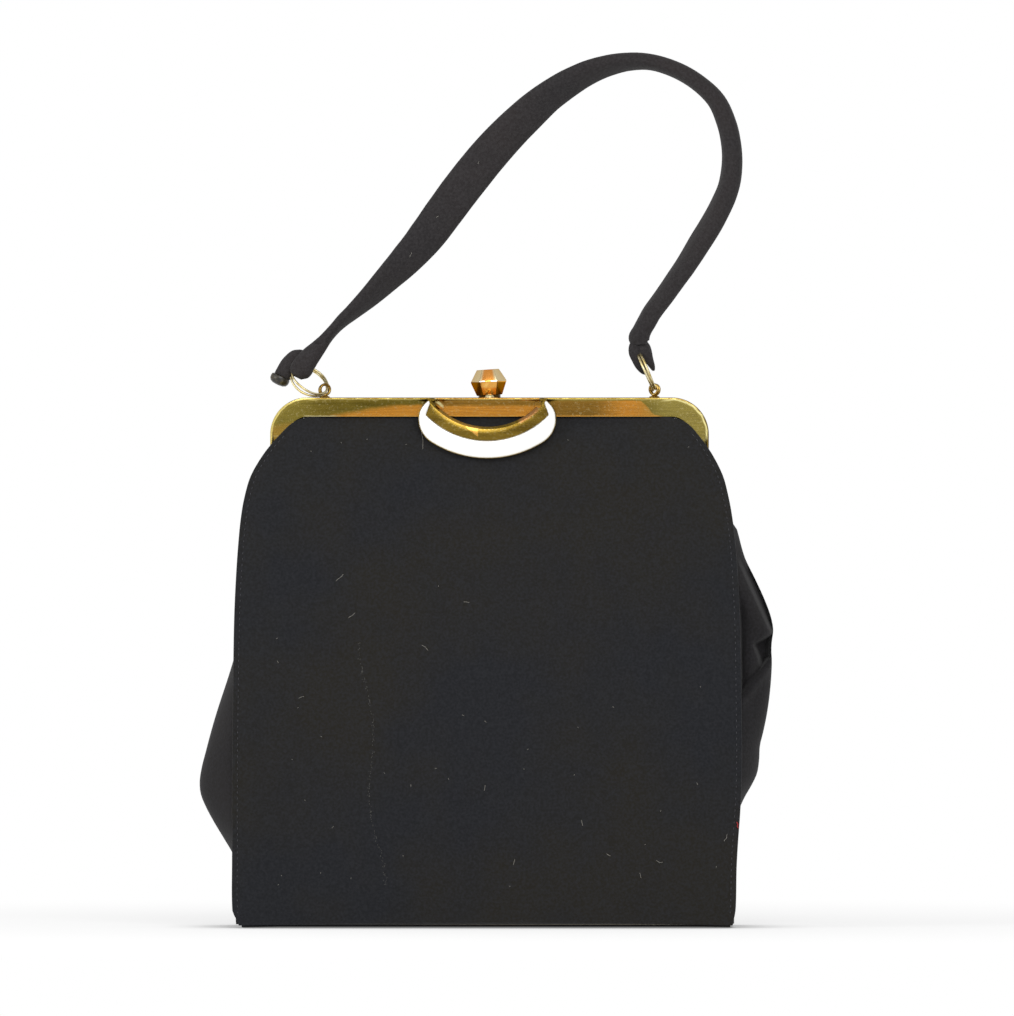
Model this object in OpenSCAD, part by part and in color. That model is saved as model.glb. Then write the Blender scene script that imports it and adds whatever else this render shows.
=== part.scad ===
// Framed evening purse: two hinged brass channel leaves, a faceted knob clasp,
// a crescent thumb piece, a ringed padded strap and a gusseted cloth bag.
// Front faces -Y, +X is the viewer's right, and the bag stands on z = 0.

/* [Frame] */
// Width of the closed frame
frame_w = 190; // [176:1:204]
// Height of the frame's top above the base
frame_top = 229; // [220:1:240]
// Front to back depth of one leaf
leaf_depth = 7.5; // [6.5:0.1:8]
// Height of the leaf's polished face
face_h = 8.7; // [7:0.1:10]
// Thickness of the brass sheet
sheet_t = 1; // [0.8:0.1:1.3]
// Outer corner radius of the leaf
corner_r = 16; // [12:1:20]
// Distance between the two closed leaves
leaf_gap = 0.4; // [0.2:0.1:0.6]

/* [Hinge] */
// Height of the frame's top above the hinge axis
hinge_drop = 45; // [42:1:50]
// Radius of the hinge ears
ear_r = 4.5; // [3.5:0.1:5]
// Thickness of one ear
ear_t = 1.2; // [0.8:0.1:1.5]
// Radius of the hinge rivets
pin_r = 1.5; // [1:0.1:2]
// Radial running clearance of a rivet in the moving ear
pin_clear = 0.05; // [0.02:0.01:0.09]
// Radius of a rivet head
head_r = 2.6; // [2.2:0.1:3]
// Thickness of a rivet head
head_t = 1; // [0.6:0.1:1.4]
// Side clearance between two ears, and under the rivet heads
ear_gap = 0.3; // [0.2:0.1:0.4]

/* [Knob clasp] */
// Width of the knob's girdle across its corners
knob_w = 15.4; // [13:0.1:17]
// Width of the knob's top face across its corners
knob_top_w = 9.5; // [7:0.1:12]
// Width of the knob's foot across its corners
knob_foot_w = 11; // [8:0.1:12.5]
// Height of the knob
knob_h = 10.8; // [8:0.1:13]
// Height of the girdle above the knob's foot
girdle_h = 5.6; // [4.5:0.1:6.5]
// Height of the saddle below the knob
saddle_h = 1.4; // [1:0.1:2]
// Width of the saddle along the frame
saddle_w = 9.6; // [8:0.1:10.5]
// Radius of the knob's stud
stud_r = 1.6; // [1.2:0.1:2]
// Radius of the catch bead on the front leaf
catch_r = 2.1; // [1.6:0.1:2.4]
// Height of the catch bead
catch_h = 1.6; // [1.2:0.1:2]

/* [Crescent] */
// Radius of the crescent's inner edge
crescent_in_r = 31; // [29:0.5:33]
// Width of the crescent's gold band
gold_w = 6; // [5:0.1:7]
// Width of the enamel band at the middle
enamel_w = 7.4; // [6:0.1:9]
// Radius of the crescent's lower edge
crescent_out_r = 45.5; // [43:0.5:48]
// Radius of the crescent's round shoulders
horn_r = 12; // [11:0.5:13]
// Height of the crescent's centre above the frame's top
crescent_rise = 18.3; // [17:0.1:19.5]
// Thickness of the crescent's back plate
crescent_t = 1.6; // [1.2:0.1:2]
// How far the gold band stands in front of the back plate
gold_rise = 1.6; // [1:0.1:2]
// Width of the thin rim round the enamel
rim_w = 0.5; // [0.4:0.1:0.8]
// Distance between the crescent's two rivets
crescent_pitch = 42.8; // [40:0.2:45]
// Radius of the crescent's rivets
crescent_rivet_r = 1.1; // [0.8:0.1:1.3]

/* [Rings] */
// Distance of each ring post from the frame's end
post_inset = 23.5; // [20:0.5:28]
// Middle radius of a post's eye
eye_r = 2.3; // [2.2:0.1:2.6]
// Radius of the eye's wire
eye_wire_r = 0.6; // [0.5:0.05:0.65]
// Height of the post's foot
post_foot_h = 0.8; // [0.6:0.1:1]
// Middle radius of a strap ring
ring_r = 8.55; // [8.5:0.05:10]
// Radius of a ring's wire
ring_wire_r = 0.7; // [0.6:0.05:0.75]

/* [Strap] */
// Radial clearance of a strap loop on its ring
loop_clear = 0.3; // [0.2:0.05:0.4]
// Outer radius of a strap loop
loop_r = 2.4; // [2:0.1:2.5]
// Half of the arc that a loop takes on its ring, in degrees
loop_arc = 25; // [18:1:27]
// Depth of the sewn ends, front to back
end_depth = 6; // [5:0.2:6.4]
// Thickness of the strap's cloth cover
cover_t = 1; // [0.8:0.1:1.4]

/* [Bag] */
// Width of the bag at its foot
bag_w = 221; // [214:1:228]
// Depth of the bag at its foot
bag_depth = 66; // [60:1:76]
// Narrowing of each side up to the shoulder
side_draw = 4; // [3:0.5:6]
// Thickness of the panels' bonded cloth
cloth_t = 1.2; // [1:0.1:1.4]
// Thickness of the stiffening board
board_t = 1.2; // [1:0.1:1.6]
// Thickness of the base board
base_board_t = 2; // [1.5:0.1:3]
// Thickness of the lining
lining_t = 0.8; // [0.6:0.1:1]
// How far the gussets swell outward
gusset_swell = 17; // [12:0.5:20]
// Height of the fullest point of the left gusset
left_swell_z = 68; // [60:1:80]
// Height of the fullest point of the right gusset
right_swell_z = 118; // [100:1:125]
// Width of the inside pocket
pocket_w = 110; // [90:1:140]
// Height of the inside pocket
pocket_h = 95; // [80:1:110]

/* [Hidden] */
$fn = 64;

brass = [0.66, 0.52, 0.22];
amber_brass = [0.86, 0.6, 0.24];
pale_gold = [0.86, 0.8, 0.6];
white = [0.97, 0.97, 0.95];
black_cloth = [0.13, 0.13, 0.15];
strap_cloth = [0.18, 0.17, 0.18];
lining_cloth = [0.2, 0.19, 0.2];
board_grey = [0.55, 0.52, 0.47];
dark_gloss = [0.06, 0.05, 0.06];

eps = 0.01;
// Gap left between soft pieces that lie on each other
ease = 0.1;

hinge_z = frame_top - hinge_drop;
leaf_in_y = leaf_gap / 2;
leaf_out_y = leaf_in_y + leaf_depth;
leaf_mid_y = leaf_in_y + leaf_depth / 2;
face_low = frame_top - face_h;
// The arms stop above the ears, clear of the other leaf's ears
arm_end_z = hinge_z + ear_r + 1.5;
arm_in_x = frame_w / 2 - face_h;
lip_half = frame_w / 2 - corner_r;
lip_t = 0.3;
lip_h = 0.8;

// The cloth's top edge lies on the frame's face, and its outside is a flat slope
cloth_top = face_low - 0.3;
cloth_top_y = leaf_out_y + ease + cloth_t;
slope = (bag_depth / 2 - cloth_top_y) / cloth_top;
tilt = atan(slope);
function out_y(z) = bag_depth / 2 - slope * z;

// Half width of a panel: a side that draws in slowly, then an elliptical shoulder
shoulder_z = cloth_top - 48;
shoulder_drop = 55;
shoulder_run = 44.9;
foot_r = 3;
function side_x(z) = bag_w / 2 - side_draw * pow(z / 180, 4)
  - (z < foot_r ? foot_r - sqrt(pow(foot_r, 2) - pow(foot_r - z, 2)) : 0);
function half_w(z) = z < shoulder_z ? side_x(z)
  : side_x(shoulder_z) - shoulder_run * (1 - sqrt(1 - pow((z - shoulder_z) / shoulder_drop, 2)));

// The yoke turns with the front leaf, inside the lower panel's reach
skirt_r = out_y(hinge_z);
skirt_arc = 40;
panel_split_z = hinge_z - 10;
board_top_z = hinge_z - 13;
lining_top_z = hinge_z - 14;

gusset_x = bag_w / 2 - side_draw - 0.5;
gusset_t = 1.4;
gusset_top_z = hinge_z - skirt_r - 0.5;
// Height over which each gusset's swell dies out
left_swell_reach = 46;
right_swell_reach = 62;
lining_x = gusset_x - gusset_t - 0.5;
lining_floor_z = cloth_t + base_board_t;
yoke_lining_x = arm_in_x - 3;
yoke_lining_z = hinge_z + 3;
yoke_lining_top_z = face_low - 3;
base_x = gusset_x + 1;
least_swell = 1.5;
gusset_rows = 22;
gusset_cols = 6;
outline_steps = 24;
pocket_low_z = 58;

eye_z = frame_top + post_foot_h + eye_r + eye_wire_r / 2;
ring_z = eye_z + ring_r;
post_x = frame_w / 2 - post_inset;
post_shank_r = eye_wire_r + 0.3;
post_head_t = 0.6;
fold_gap = ring_wire_r + 0.8;
// Gap between the strap's cover and its filler cord
core_gap = 0.6;
tip_r = 3;
// Middle of the lacquered tip, seated against the folded end's lobe
tip_x = -post_x - 19.6;
tip_z = ring_z - 1.6;
lobe_x = 12.5;
lobe_rise = 2.5;
lobe_r = 5.5;
// Clearance of a stud or post in its bore
stud_clear = 0.03;

gold_out_r = crescent_in_r + gold_w;
crescent_z = frame_top + crescent_rise;
crescent_low_z = crescent_z - gold_out_r - enamel_w;
crescent_out_z = crescent_low_z + crescent_out_r;
horn_x = 17.9;
horn_z = crescent_out_z - sqrt(pow(crescent_out_r - horn_r, 2) - pow(horn_x, 2));
// The crescent clears the sloping cloth behind its lower edge
crescent_back_y = -(out_y(crescent_low_z) + 0.3);
crescent_rivet_z = frame_top - face_h / 2 + 1;
crescent_shoulder_r = crescent_rivet_r + 0.7;
// Small blocks behind the horns' tips, and the gold band's setback from the rim
return_w = 2;
return_h = 2.6;
return_x = sqrt(pow(crescent_in_r, 2) - pow(crescent_rise, 2)) - return_w / 2 + 0.3;
gold_setback = 3 * rim_w;

function reversed(list) = [for (i = [len(list) - 1 : -1 : 0]) list[i]];
function mirrored(list) = reversed([for (p = list) [-p[0], p[1]]]);

// Rounded arch, open below
module arch_2d(half, top, r, low) {
  translate([-half + r, low]) square([2 * (half - r), top - low]);
  translate([-half, low]) square([2 * half, top - r - low]);
  for (side = [-1, 1]) {
    translate([side * (half - r), top - r]) circle(r = r);
  }
}

// Stands an XZ outline up, from y0 towards +Y
module stand(y0, depth) {
  translate([0, y0 + depth, 0]) rotate([90, 0, 0]) linear_extrude(depth) children();
}

// Channel leaf behind y = 0: a face with a lip, an outer wall and an inner face, open inward
module leaf_channel() {
  difference() {
    stand(leaf_in_y, leaf_depth) difference() {
      arch_2d(frame_w / 2, frame_top, corner_r, arm_end_z);
      arch_2d(arm_in_x, face_low, corner_r - face_h, arm_end_z - eps);
    }
    stand(leaf_in_y + sheet_t, leaf_depth - 2 * sheet_t)
      arch_2d(frame_w / 2 - sheet_t, frame_top - sheet_t, corner_r - sheet_t, arm_end_z - eps);
  }
  // Lip rolled outward along the face's lower edge, over the cloth
  translate([-lip_half, leaf_out_y - eps, face_low]) cube([2 * lip_half, lip_t + eps, lip_h]);
}

// Ear in a plane across X: a disc on the hinge axis and a strip up to the arm
module ear(x_in, bore_r) {
  difference() {
    union() {
      translate([x_in, 0, hinge_z]) rotate([0, 90, 0]) cylinder(r = ear_r, h = ear_t);
      translate([x_in, leaf_in_y, hinge_z])
        cube([ear_t, ear_r - leaf_in_y, arm_end_z + face_h / 2 - hinge_z]);
    }
    translate([x_in - 1, 0, hinge_z]) rotate([0, 90, 0]) cylinder(r = bore_r, h = ear_t + 2);
  }
}

ear_mid_x = frame_w / 2 - face_h / 2;
front_ear_x = ear_mid_x - ear_gap / 2 - ear_t;
rear_ear_x = ear_mid_x + ear_gap / 2;

module leaf(ear_x, bore_r) {
  leaf_channel();
  for (side = [0, 1]) {
    mirror([side, 0, 0]) ear(ear_x, bore_r);
  }
}

module rear_leaf() {
  color(brass) difference() {
    leaf(rear_ear_x, pin_r);
    translate([0, leaf_mid_y, frame_top - 2 * sheet_t]) cylinder(r = stud_r + stud_clear, h = 3 * sheet_t);
    for (side = [-1, 1]) {
      translate([side * post_x, leaf_mid_y, frame_top - 2 * sheet_t])
        cylinder(r = post_shank_r + stud_clear, h = 3 * sheet_t);
    }
  }
}

module front_leaf() {
  color(brass) difference() {
    mirror([0, 1, 0]) leaf(front_ear_x, pin_r + pin_clear);
    for (side = [-1, 1]) {
      translate([side * crescent_pitch / 2, -leaf_out_y - 1, crescent_rivet_z])
        rotate([-90, 0, 0]) cylinder(r = crescent_rivet_r, h = sheet_t + 2);
    }
  }
}

// A rivet through both ears, set tight in the rear ear, with a head at each end
module hinge_rivets() {
  shank_in = front_ear_x - ear_gap;
  shank_out = rear_ear_x + ear_t;
  color(pale_gold) for (side = [0, 1]) {
    mirror([side, 0, 0]) translate([0, 0, hinge_z]) rotate([0, 90, 0]) {
      translate([0, 0, shank_in]) cylinder(r = pin_r, h = shank_out - shank_in);
      translate([0, 0, shank_in - head_t]) cylinder(r = head_r, h = head_t);
      translate([0, 0, shank_out]) cylinder(r = head_r, h = head_t);
    }
  }
}

knob_foot_z = frame_top + saddle_h;

// Six-sided lantern knob: one flat faces the front, with a girdle at its middle
module knob() {
  color(amber_brass) translate([0, leaf_mid_y, knob_foot_z]) {
    cylinder(r1 = knob_foot_w / 2, r2 = knob_w / 2, h = girdle_h, $fn = 6);
    translate([0, 0, girdle_h])
      cylinder(r1 = knob_w / 2, r2 = knob_top_w / 2, h = knob_h - girdle_h, $fn = 6);
  }
}

// Seat between knob and leaf: a disc cut down to the leaf's depth
module knob_saddle() {
  color(brass) translate([0, leaf_mid_y, frame_top]) difference() {
    intersection() {
      cylinder(r = saddle_w / 2, h = saddle_h);
      translate([-saddle_w, -leaf_depth / 2 + 0.4, -1])
        cube([2 * saddle_w, leaf_depth - 0.8, saddle_h + 2]);
    }
    translate([0, 0, -1]) cylinder(r = stud_r + stud_clear, h = saddle_h + 2);
  }
}

// Stud that holds the knob, peened over below the leaf's top wall
module knob_stud() {
  color(pale_gold) translate([0, leaf_mid_y, 0]) {
    translate([0, 0, frame_top - sheet_t]) cylinder(r = stud_r, h = sheet_t + saddle_h);
    translate([0, 0, frame_top - sheet_t - 0.8]) cylinder(r = stud_r + 0.8, h = 0.8);
  }
}

// Low bead on the front leaf that snaps under the knob's front flank
module catch_bead() {
  round_r = (pow(catch_r, 2) + pow(catch_h, 2)) / (2 * catch_h);
  color(pale_gold) translate([0, -leaf_mid_y, frame_top]) intersection() {
    translate([0, 0, catch_h - round_r]) sphere(r = round_r);
    cylinder(r = catch_r + 1, h = catch_h + 1);
  }
}

// Crescent outline in the XZ plane, its lower edge shrunk by grow when negative
module crescent_outer_2d(grow) {
  difference() {
    union() {
      intersection() {
        translate([0, crescent_out_z]) circle(r = crescent_out_r + grow);
        translate([-crescent_out_r, crescent_low_z - 1]) square([2 * crescent_out_r, horn_z - crescent_low_z + 1]);
        union() {
          for (side = [-1, 1]) {
            translate([side * horn_x, horn_z]) circle(r = horn_r + grow);
          }
          translate([-horn_meet_x, crescent_low_z - 1])
            square([2 * horn_meet_x, horn_z - crescent_low_z + 1]);
        }
      }
      for (side = [-1, 1]) {
        translate([side * horn_x, horn_z]) circle(r = horn_r + grow);
      }
    }
    translate([-crescent_out_r, frame_top + 0.3]) square([2 * crescent_out_r, 2 * horn_r]);
  }
}

// Where the shoulder circles meet the lower edge's circle
horn_meet_x = horn_x * crescent_out_r / (crescent_out_r - horn_r);

module crescent_plate() {
  front_y = crescent_back_y - crescent_t;
  color(brass) difference() {
    union() {
      stand(front_y, crescent_t) difference() {
        crescent_outer_2d(0);
        translate([0, crescent_z]) circle(r = crescent_in_r);
      }
      stand(front_y - gold_rise, gold_rise + eps) difference() {
        intersection() {
          translate([0, crescent_z]) circle(r = gold_out_r);
          crescent_outer_2d(-gold_setback);
        }
        translate([0, crescent_z]) circle(r = crescent_in_r);
      }
      stand(front_y - gold_rise, gold_rise + eps) difference() {
        crescent_outer_2d(0);
        crescent_outer_2d(-rim_w);
        translate([0, crescent_z]) circle(r = crescent_in_r);
      }
      // Horn returns, from the plate back to the leaf's face
      for (side = [-1, 1]) {
        translate([side * return_x - return_w / 2, crescent_back_y - eps, frame_top - return_h])
          cube([return_w, -leaf_out_y - crescent_back_y + eps, return_h]);
      }
    }
    for (side = [-1, 1]) {
      translate([side * crescent_pitch / 2, 0, crescent_rivet_z]) rotate([-90, 0, 0]) {
        translate([0, 0, front_y - gold_rise - 1])
          cylinder(r = crescent_rivet_r, h = crescent_t + gold_rise + 2);
        translate([0, 0, crescent_back_y])
          cylinder(r = crescent_shoulder_r + stud_clear, h = -leaf_out_y - crescent_back_y);
      }
    }
  }
}

// White enamel band between the gold band and the rim
module crescent_enamel() {
  color(white) stand(crescent_back_y - crescent_t - gold_rise * 0.8, gold_rise * 0.8) difference() {
    crescent_outer_2d(-rim_w);
    intersection() {
      translate([0, crescent_z]) circle(r = gold_out_r);
      crescent_outer_2d(-gold_setback);
    }
    translate([0, crescent_z]) circle(r = crescent_in_r);
  }
}

// Shouldered rivets that hold the crescent off the leaf's face
module crescent_rivets() {
  plate_front = crescent_back_y - crescent_t - gold_rise;
  tail = -leaf_out_y + sheet_t;
  rivet_tail_t = 0.7;
  color(pale_gold) for (side = [-1, 1]) {
    translate([side * crescent_pitch / 2, 0, crescent_rivet_z]) rotate([-90, 0, 0]) {
      translate([0, 0, plate_front]) cylinder(r = crescent_rivet_r, h = tail - plate_front);
      translate([0, 0, crescent_back_y])
        cylinder(r = crescent_shoulder_r, h = -leaf_out_y - crescent_back_y);
      translate([0, 0, tail]) cylinder(r = crescent_shoulder_r, h = rivet_tail_t);
    }
  }
}

// Post with a wire eye across the leaf, set through the leaf's top wall
module ring_post(x) {
  color(pale_gold) translate([x, leaf_mid_y, 0]) {
    translate([0, 0, eye_z]) rotate([90, 0, 0]) rotate_extrude()
      translate([eye_r, 0]) circle(r = eye_wire_r, $fn = 24);
    translate([0, 0, frame_top]) cylinder(r = eye_r, h = post_foot_h);
    translate([0, 0, frame_top - sheet_t])
      cylinder(r = post_shank_r, h = sheet_t + post_foot_h + eye_wire_r);
    translate([0, 0, frame_top - sheet_t - post_head_t]) cylinder(r = post_shank_r + 0.7, h = post_head_t);
  }
}

module left_ring_post() {
  ring_post(-post_x);
}

module right_ring_post() {
  ring_post(post_x);
}

// Round wire ring across the leaf, through the post's eye
module strap_ring(x) {
  color(pale_gold) translate([x, leaf_mid_y, ring_z]) rotate([0, 90, 0]) rotate_extrude($fn = 96)
    translate([ring_r, 0]) circle(r = ring_wire_r, $fn = 24);
}

module left_ring() {
  strap_ring(-post_x);
}

module right_ring() {
  strap_ring(post_x);
}

// Middle line of the strap, from the left ring to the right one, at each point:
// across the bag, height above the rings' centre, broad width, thickness, and the turn of
// its broad face away from the front
strap_path = [
  [-71, 18, 9, 6.4, 62], [-68.6, 20.4, 9.5, 5.8, 72], [-64.4, 22.6, 10.8, 5, 78], [-59.3, 25.3, 12.6, 5.3, 70],
  [-51.7, 32.2, 14.2, 5.7, 59], [-44.6, 39.1, 15.2, 6, 49], [-37.7, 46.1, 15.8, 6.3, 38],
  [-31.6, 53, 16.2, 6.5, 28], [-26, 59.9, 16.6, 6.6, 18], [-18.4, 70.3, 16.8, 6.8, 10],
  [-10.6, 80.7, 16.9, 6.9, 6], [-2.4, 91.1, 16.8, 7, 8], [6.7, 101.4, 16.6, 7, 14],
  [17.3, 111.8, 16.4, 7, 26], [25.5, 118.8, 16.2, 7, 38], [36.1, 125.7, 16, 7, 50],
  [47, 130.7, 15.6, 7, 63], [59, 133.4, 15.2, 7, 76], [70, 133.1, 15, 7, 84], [81.5, 129.5, 15, 7.3, 86],
  [91, 123.6, 15, 7.7, 87], [97.2, 116.1, 15, 8, 88], [101.3, 107.5, 15, 8.2, 88],
  [103.6, 99.1, 15, 8.4, 87], [104.5, 90.1, 15, 8.6, 85], [103.4, 80.7, 15, 8.7, 82],
  [100.6, 72.6, 15, 8.7, 76], [95.9, 63.4, 15, 8.5, 70], [90.6, 54.7, 14.8, 8.3, 69],
  [85.3, 46.1, 14.2, 8.1, 72], [80.3, 39.1, 13.4, 7.9, 74], [76, 32.6, 12.4, 7.7, 75],
  [72.6, 26.8, 11.2, 7.6, 78], [71.2, 22, 9.8, 7.4, 80], [71, 18, 8.8, 7, 80]
];

// The path's two ends stand over the rings when the posts move
path_spread = post_x / 71.5;

// Lofts a closed tube through rings of equal point counts
module loft(rings) {
  n = len(rings[0]);
  last = len(rings) - 1;
  walls = [for (i = [0 : last - 1]) for (j = [0 : n - 1]) let (k = (j + 1) % n)
    each [[i * n + j, i * n + k, (i + 1) * n + k], [i * n + j, (i + 1) * n + k, (i + 1) * n + j]]];
  caps = [for (j = [1 : n - 2]) each [[0, j + 1, j], [last * n, last * n + j, last * n + j + 1]]];
  polyhedron([for (r = rings) each r], concat(walls, caps));
}

strap_sides = 10;
function strap_ring_points(i, inset) =
  let (
    a = strap_path[max(i - 1, 0)],
    b = strap_path[min(i + 1, len(strap_path) - 1)],
    p = strap_path[i],
    run = [(b[0] - a[0]) * path_spread, b[1] - a[1]],
    across = (i == 0 || i == len(strap_path) - 1) ? [1, 0]
      : [run[1], -run[0]] / norm(run),
    broad = p[2] / 2 - inset,
    thick = p[3] / 2 - inset,
    turn = p[4]
  )
  [for (j = [0 : strap_sides - 1])
    let (
      t = 360 * j / strap_sides + 180 / strap_sides,
      aside = broad * cos(t) * cos(turn) - thick * sin(t) * sin(turn),
      back = broad * cos(t) * sin(turn) + thick * sin(t) * cos(turn)
    )
    [p[0] * path_spread + across[0] * aside, leaf_mid_y + back, ring_z + p[1] + across[1] * aside]];

function strap_rings(inset) = [for (i = [0 : len(strap_path) - 1]) strap_ring_points(i, inset)];

// Lofts an open tube with a wall, out along its outside and back along its inside
module tube_loft(outside, inside) {
  rings = concat(outside, reversed(inside));
  n = len(rings[0]);
  count = len(rings);
  walls = [for (i = [0 : count - 1]) for (j = [0 : n - 1])
    let (k = (j + 1) % n, here = i * n, next = ((i + 1) % count) * n)
    each [[here + j, here + k, next + k], [here + j, next + k, next + j]]];
  polyhedron([for (r = rings) each r], walls);
}

module strap_cover() {
  color(strap_cloth) tube_loft(strap_rings(0), strap_rings(cover_t));
}

// Soft filler cord inside the cover
module strap_core() {
  color(board_grey) loft(strap_rings(cover_t + core_gap));
}

// Cloth sleeve round the ring's wire, with a sewn stem up to the strap's end
module loop_on_ring(x) {
  stem_low_z = ring_r + loop_r - 0.6;
  translate([x, leaf_mid_y, ring_z]) {
    rotate([0, 90, 0]) rotate([0, 0, 180 - loop_arc])
      rotate_extrude(angle = 2 * loop_arc, $fn = 96)
      translate([ring_r, 0]) difference() {
        circle(r = loop_r, $fn = 32);
        circle(r = ring_wire_r + loop_clear, $fn = 32);
      }
    translate([-end_depth / 2, -end_depth / 2, stem_low_z])
      cube([end_depth, end_depth, strap_path[0][1] - stem_low_z]);
  }
}

// Folded end beside the ring, an outline across the bag with a round outer lobe
module end_fold(points, lobe, lobe_r) {
  stand(leaf_mid_y - end_depth / 2, end_depth) {
    polygon(points);
    translate(lobe) circle(r = lobe_r);
  }
}

module left_strap_loop() {
  fold_top = 10.5;
  fold_low = 3;
  color(strap_cloth) difference() {
    union() {
      loop_on_ring(-post_x);
      translate([-post_x, 0, ring_z]) end_fold([
        [-fold_gap, -fold_low], [-fold_gap, fold_top], [-8, fold_top],
        [-lobe_x - 4.5, fold_low], [-lobe_x - 0.5, -fold_low]
      ], [-lobe_x, lobe_rise], lobe_r);
    }
    translate([tip_x, leaf_mid_y, tip_z]) sphere(r = tip_r + stud_clear);
  }
}

module right_strap_loop() {
  fold_top = 10.8;
  fold_x = 6;
  small_lobe_r = 2.2;
  color(strap_cloth) {
    loop_on_ring(post_x);
    translate([post_x, 0, ring_z]) for (side = [0, 1]) {
      mirror([side, 0, 0])
        end_fold([[fold_gap, 0], [fold_gap, fold_top], [fold_x - 0.5, fold_top], [fold_x, 3]],
          [fold_gap + small_lobe_r, 0], small_lobe_r);
    }
  }
}

// Lacquered end of the folded strap
module strap_tip() {
  color(dark_gloss) translate([tip_x, leaf_mid_y, tip_z]) sphere(r = tip_r);
}

// Flat cloth sheet on the bag's front slope, inset from the outside, from z0 to z1
module slope_sheet(inset, t, z0, z1, widths) {
  reach = bag_depth;
  intersection() {
    translate([0, -bag_depth / 2, 0]) rotate([-tilt, 0, 0])
      translate([0, (inset + t) * cos(tilt), 0]) rotate([90, 0, 0]) translate([0, -reach, 0])
      linear_extrude(t * cos(tilt)) translate([-bag_w, 0]) square([2 * bag_w, frame_top + 2 * reach]);
    stand(-bag_depth, bag_depth) polygon(concat(widths, mirrored(widths)));
  }
}

// Right edge of a panel between two heights, with a round corner where it meets the foot
function edge_points(z0, z1) =
  let (start = max(z0, foot_r))
  concat(
    z0 < foot_r ? [for (a = [0 : 30 : 60]) let (z = foot_r * (1 - cos(a))) [half_w(z), z]] : [],
    [for (i = [0 : outline_steps]) let (z = start + (z1 - start) * i / outline_steps) [half_w(z), z]]
  );
function strip(z0, z1, half) = [[half, z0], [half, z1]];

// Upper front cloth with a round skirt about the hinge, tucked behind the panel
module front_yoke() {
  half = half_w(hinge_z);
  color(black_cloth) {
    slope_sheet(0, cloth_t, hinge_z, cloth_top, edge_points(hinge_z, cloth_top));
    translate([-half, 0, hinge_z]) rotate([90, 0, 90])
      intersection() {
        difference() {
          cylinder(r = skirt_r, h = 2 * half);
          translate([0, 0, -1]) cylinder(r = skirt_r - cloth_t, h = 2 * half + 2);
        }
        linear_extrude(2 * half)
          polygon([[0, 0], [-2 * skirt_r, 0], [-2 * skirt_r, -2 * skirt_r * tan(skirt_arc)]]);
      }
  }
}

module front_yoke_lining() {
  color(lining_cloth) slope_sheet(cloth_t + ease, lining_t, yoke_lining_z, yoke_lining_top_z,
    strip(yoke_lining_z, yoke_lining_top_z, yoke_lining_x));
}

module front_panel() {
  color(black_cloth) slope_sheet(0, cloth_t, 0, panel_split_z, edge_points(0, panel_split_z));
}

module front_board() {
  color(board_grey) slope_sheet(cloth_t, board_t, lining_floor_z, board_top_z,
    strip(lining_floor_z, board_top_z, lining_x));
}

module rear_panel() {
  color(black_cloth) mirror([0, 1, 0])
    slope_sheet(0, cloth_t, 0, cloth_top, edge_points(0, cloth_top));
}

module rear_board() {
  color(board_grey) mirror([0, 1, 0]) slope_sheet(cloth_t, board_t, lining_floor_z, board_top_z,
    strip(lining_floor_z, board_top_z, lining_x));
}

module rear_yoke_lining() {
  color(lining_cloth) mirror([0, 1, 0])
    slope_sheet(cloth_t + ease, lining_t, board_top_z + ease, yoke_lining_top_z,
      strip(board_top_z + ease, yoke_lining_top_z, yoke_lining_x));
}

// Floor of the bag, closed between the two long panels
module base_panel() {
  half_y = out_y(cloth_t) - cloth_t - ease;
  color(black_cloth) translate([-base_x, -half_y, 0]) cube([2 * base_x, 2 * half_y, cloth_t]);
}

module base_board() {
  half_y = out_y(lining_floor_z) - cloth_t - ease;
  color(board_grey) translate([-lining_x, -half_y, cloth_t])
    cube([2 * lining_x, 2 * half_y, base_board_t]);
}

// Swell of a gusset at a height: nil at its ends, full at swell_z
function swell(z, swell_z, reach) =
  let (u = min(abs(z - swell_z) / reach, 1)) least_swell + (gusset_swell - least_swell) * pow(1 - u * u, 2);

// Side cloth between the panels, a curved sheet that swells outward at its middle
module gusset(swell_z, reach) {
  low_z = cloth_t + ease;
  rings = [for (i = [0 : gusset_rows])
    let (
      z = low_z + (gusset_top_z - low_z) * i / gusset_rows,
      deep = out_y(z) - cloth_t - ease,
      full = swell(z, swell_z, reach),
      outer = [for (j = [-gusset_cols : gusset_cols])
        let (v = j / gusset_cols) [gusset_x + full * (1 - pow(abs(v), 1.6)), v * deep, z]]
    )
    concat(outer, reversed([for (p = outer) [p[0] - gusset_t, p[1], z]]))];
  sheet_loft(rings);
}

// Lofts a thin curved sheet, its rings running out along one face and back the other
module sheet_loft(rings) {
  n = len(rings[0]);
  last = len(rings) - 1;
  walls = [for (i = [0 : last - 1]) for (j = [0 : n - 1]) let (k = (j + 1) % n)
    each [[i * n + j, (i + 1) * n + k, i * n + k], [i * n + j, (i + 1) * n + j, (i + 1) * n + k]]];
  caps = [for (j = [0 : n / 2 - 2]) let (a = j, b = j + 1, c = n - 2 - j, d = n - 1 - j) each [
    [a, b, c], [a, c, d],
    [last * n + a, last * n + c, last * n + b], [last * n + a, last * n + d, last * n + c]
  ]];
  polyhedron([for (r = rings) each r], concat(walls, caps));
}

module left_gusset() {
  color(black_cloth) mirror([1, 0, 0]) gusset(left_swell_z, left_swell_reach);
}

module right_gusset() {
  color(black_cloth) gusset(right_swell_z, right_swell_reach);
}

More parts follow.
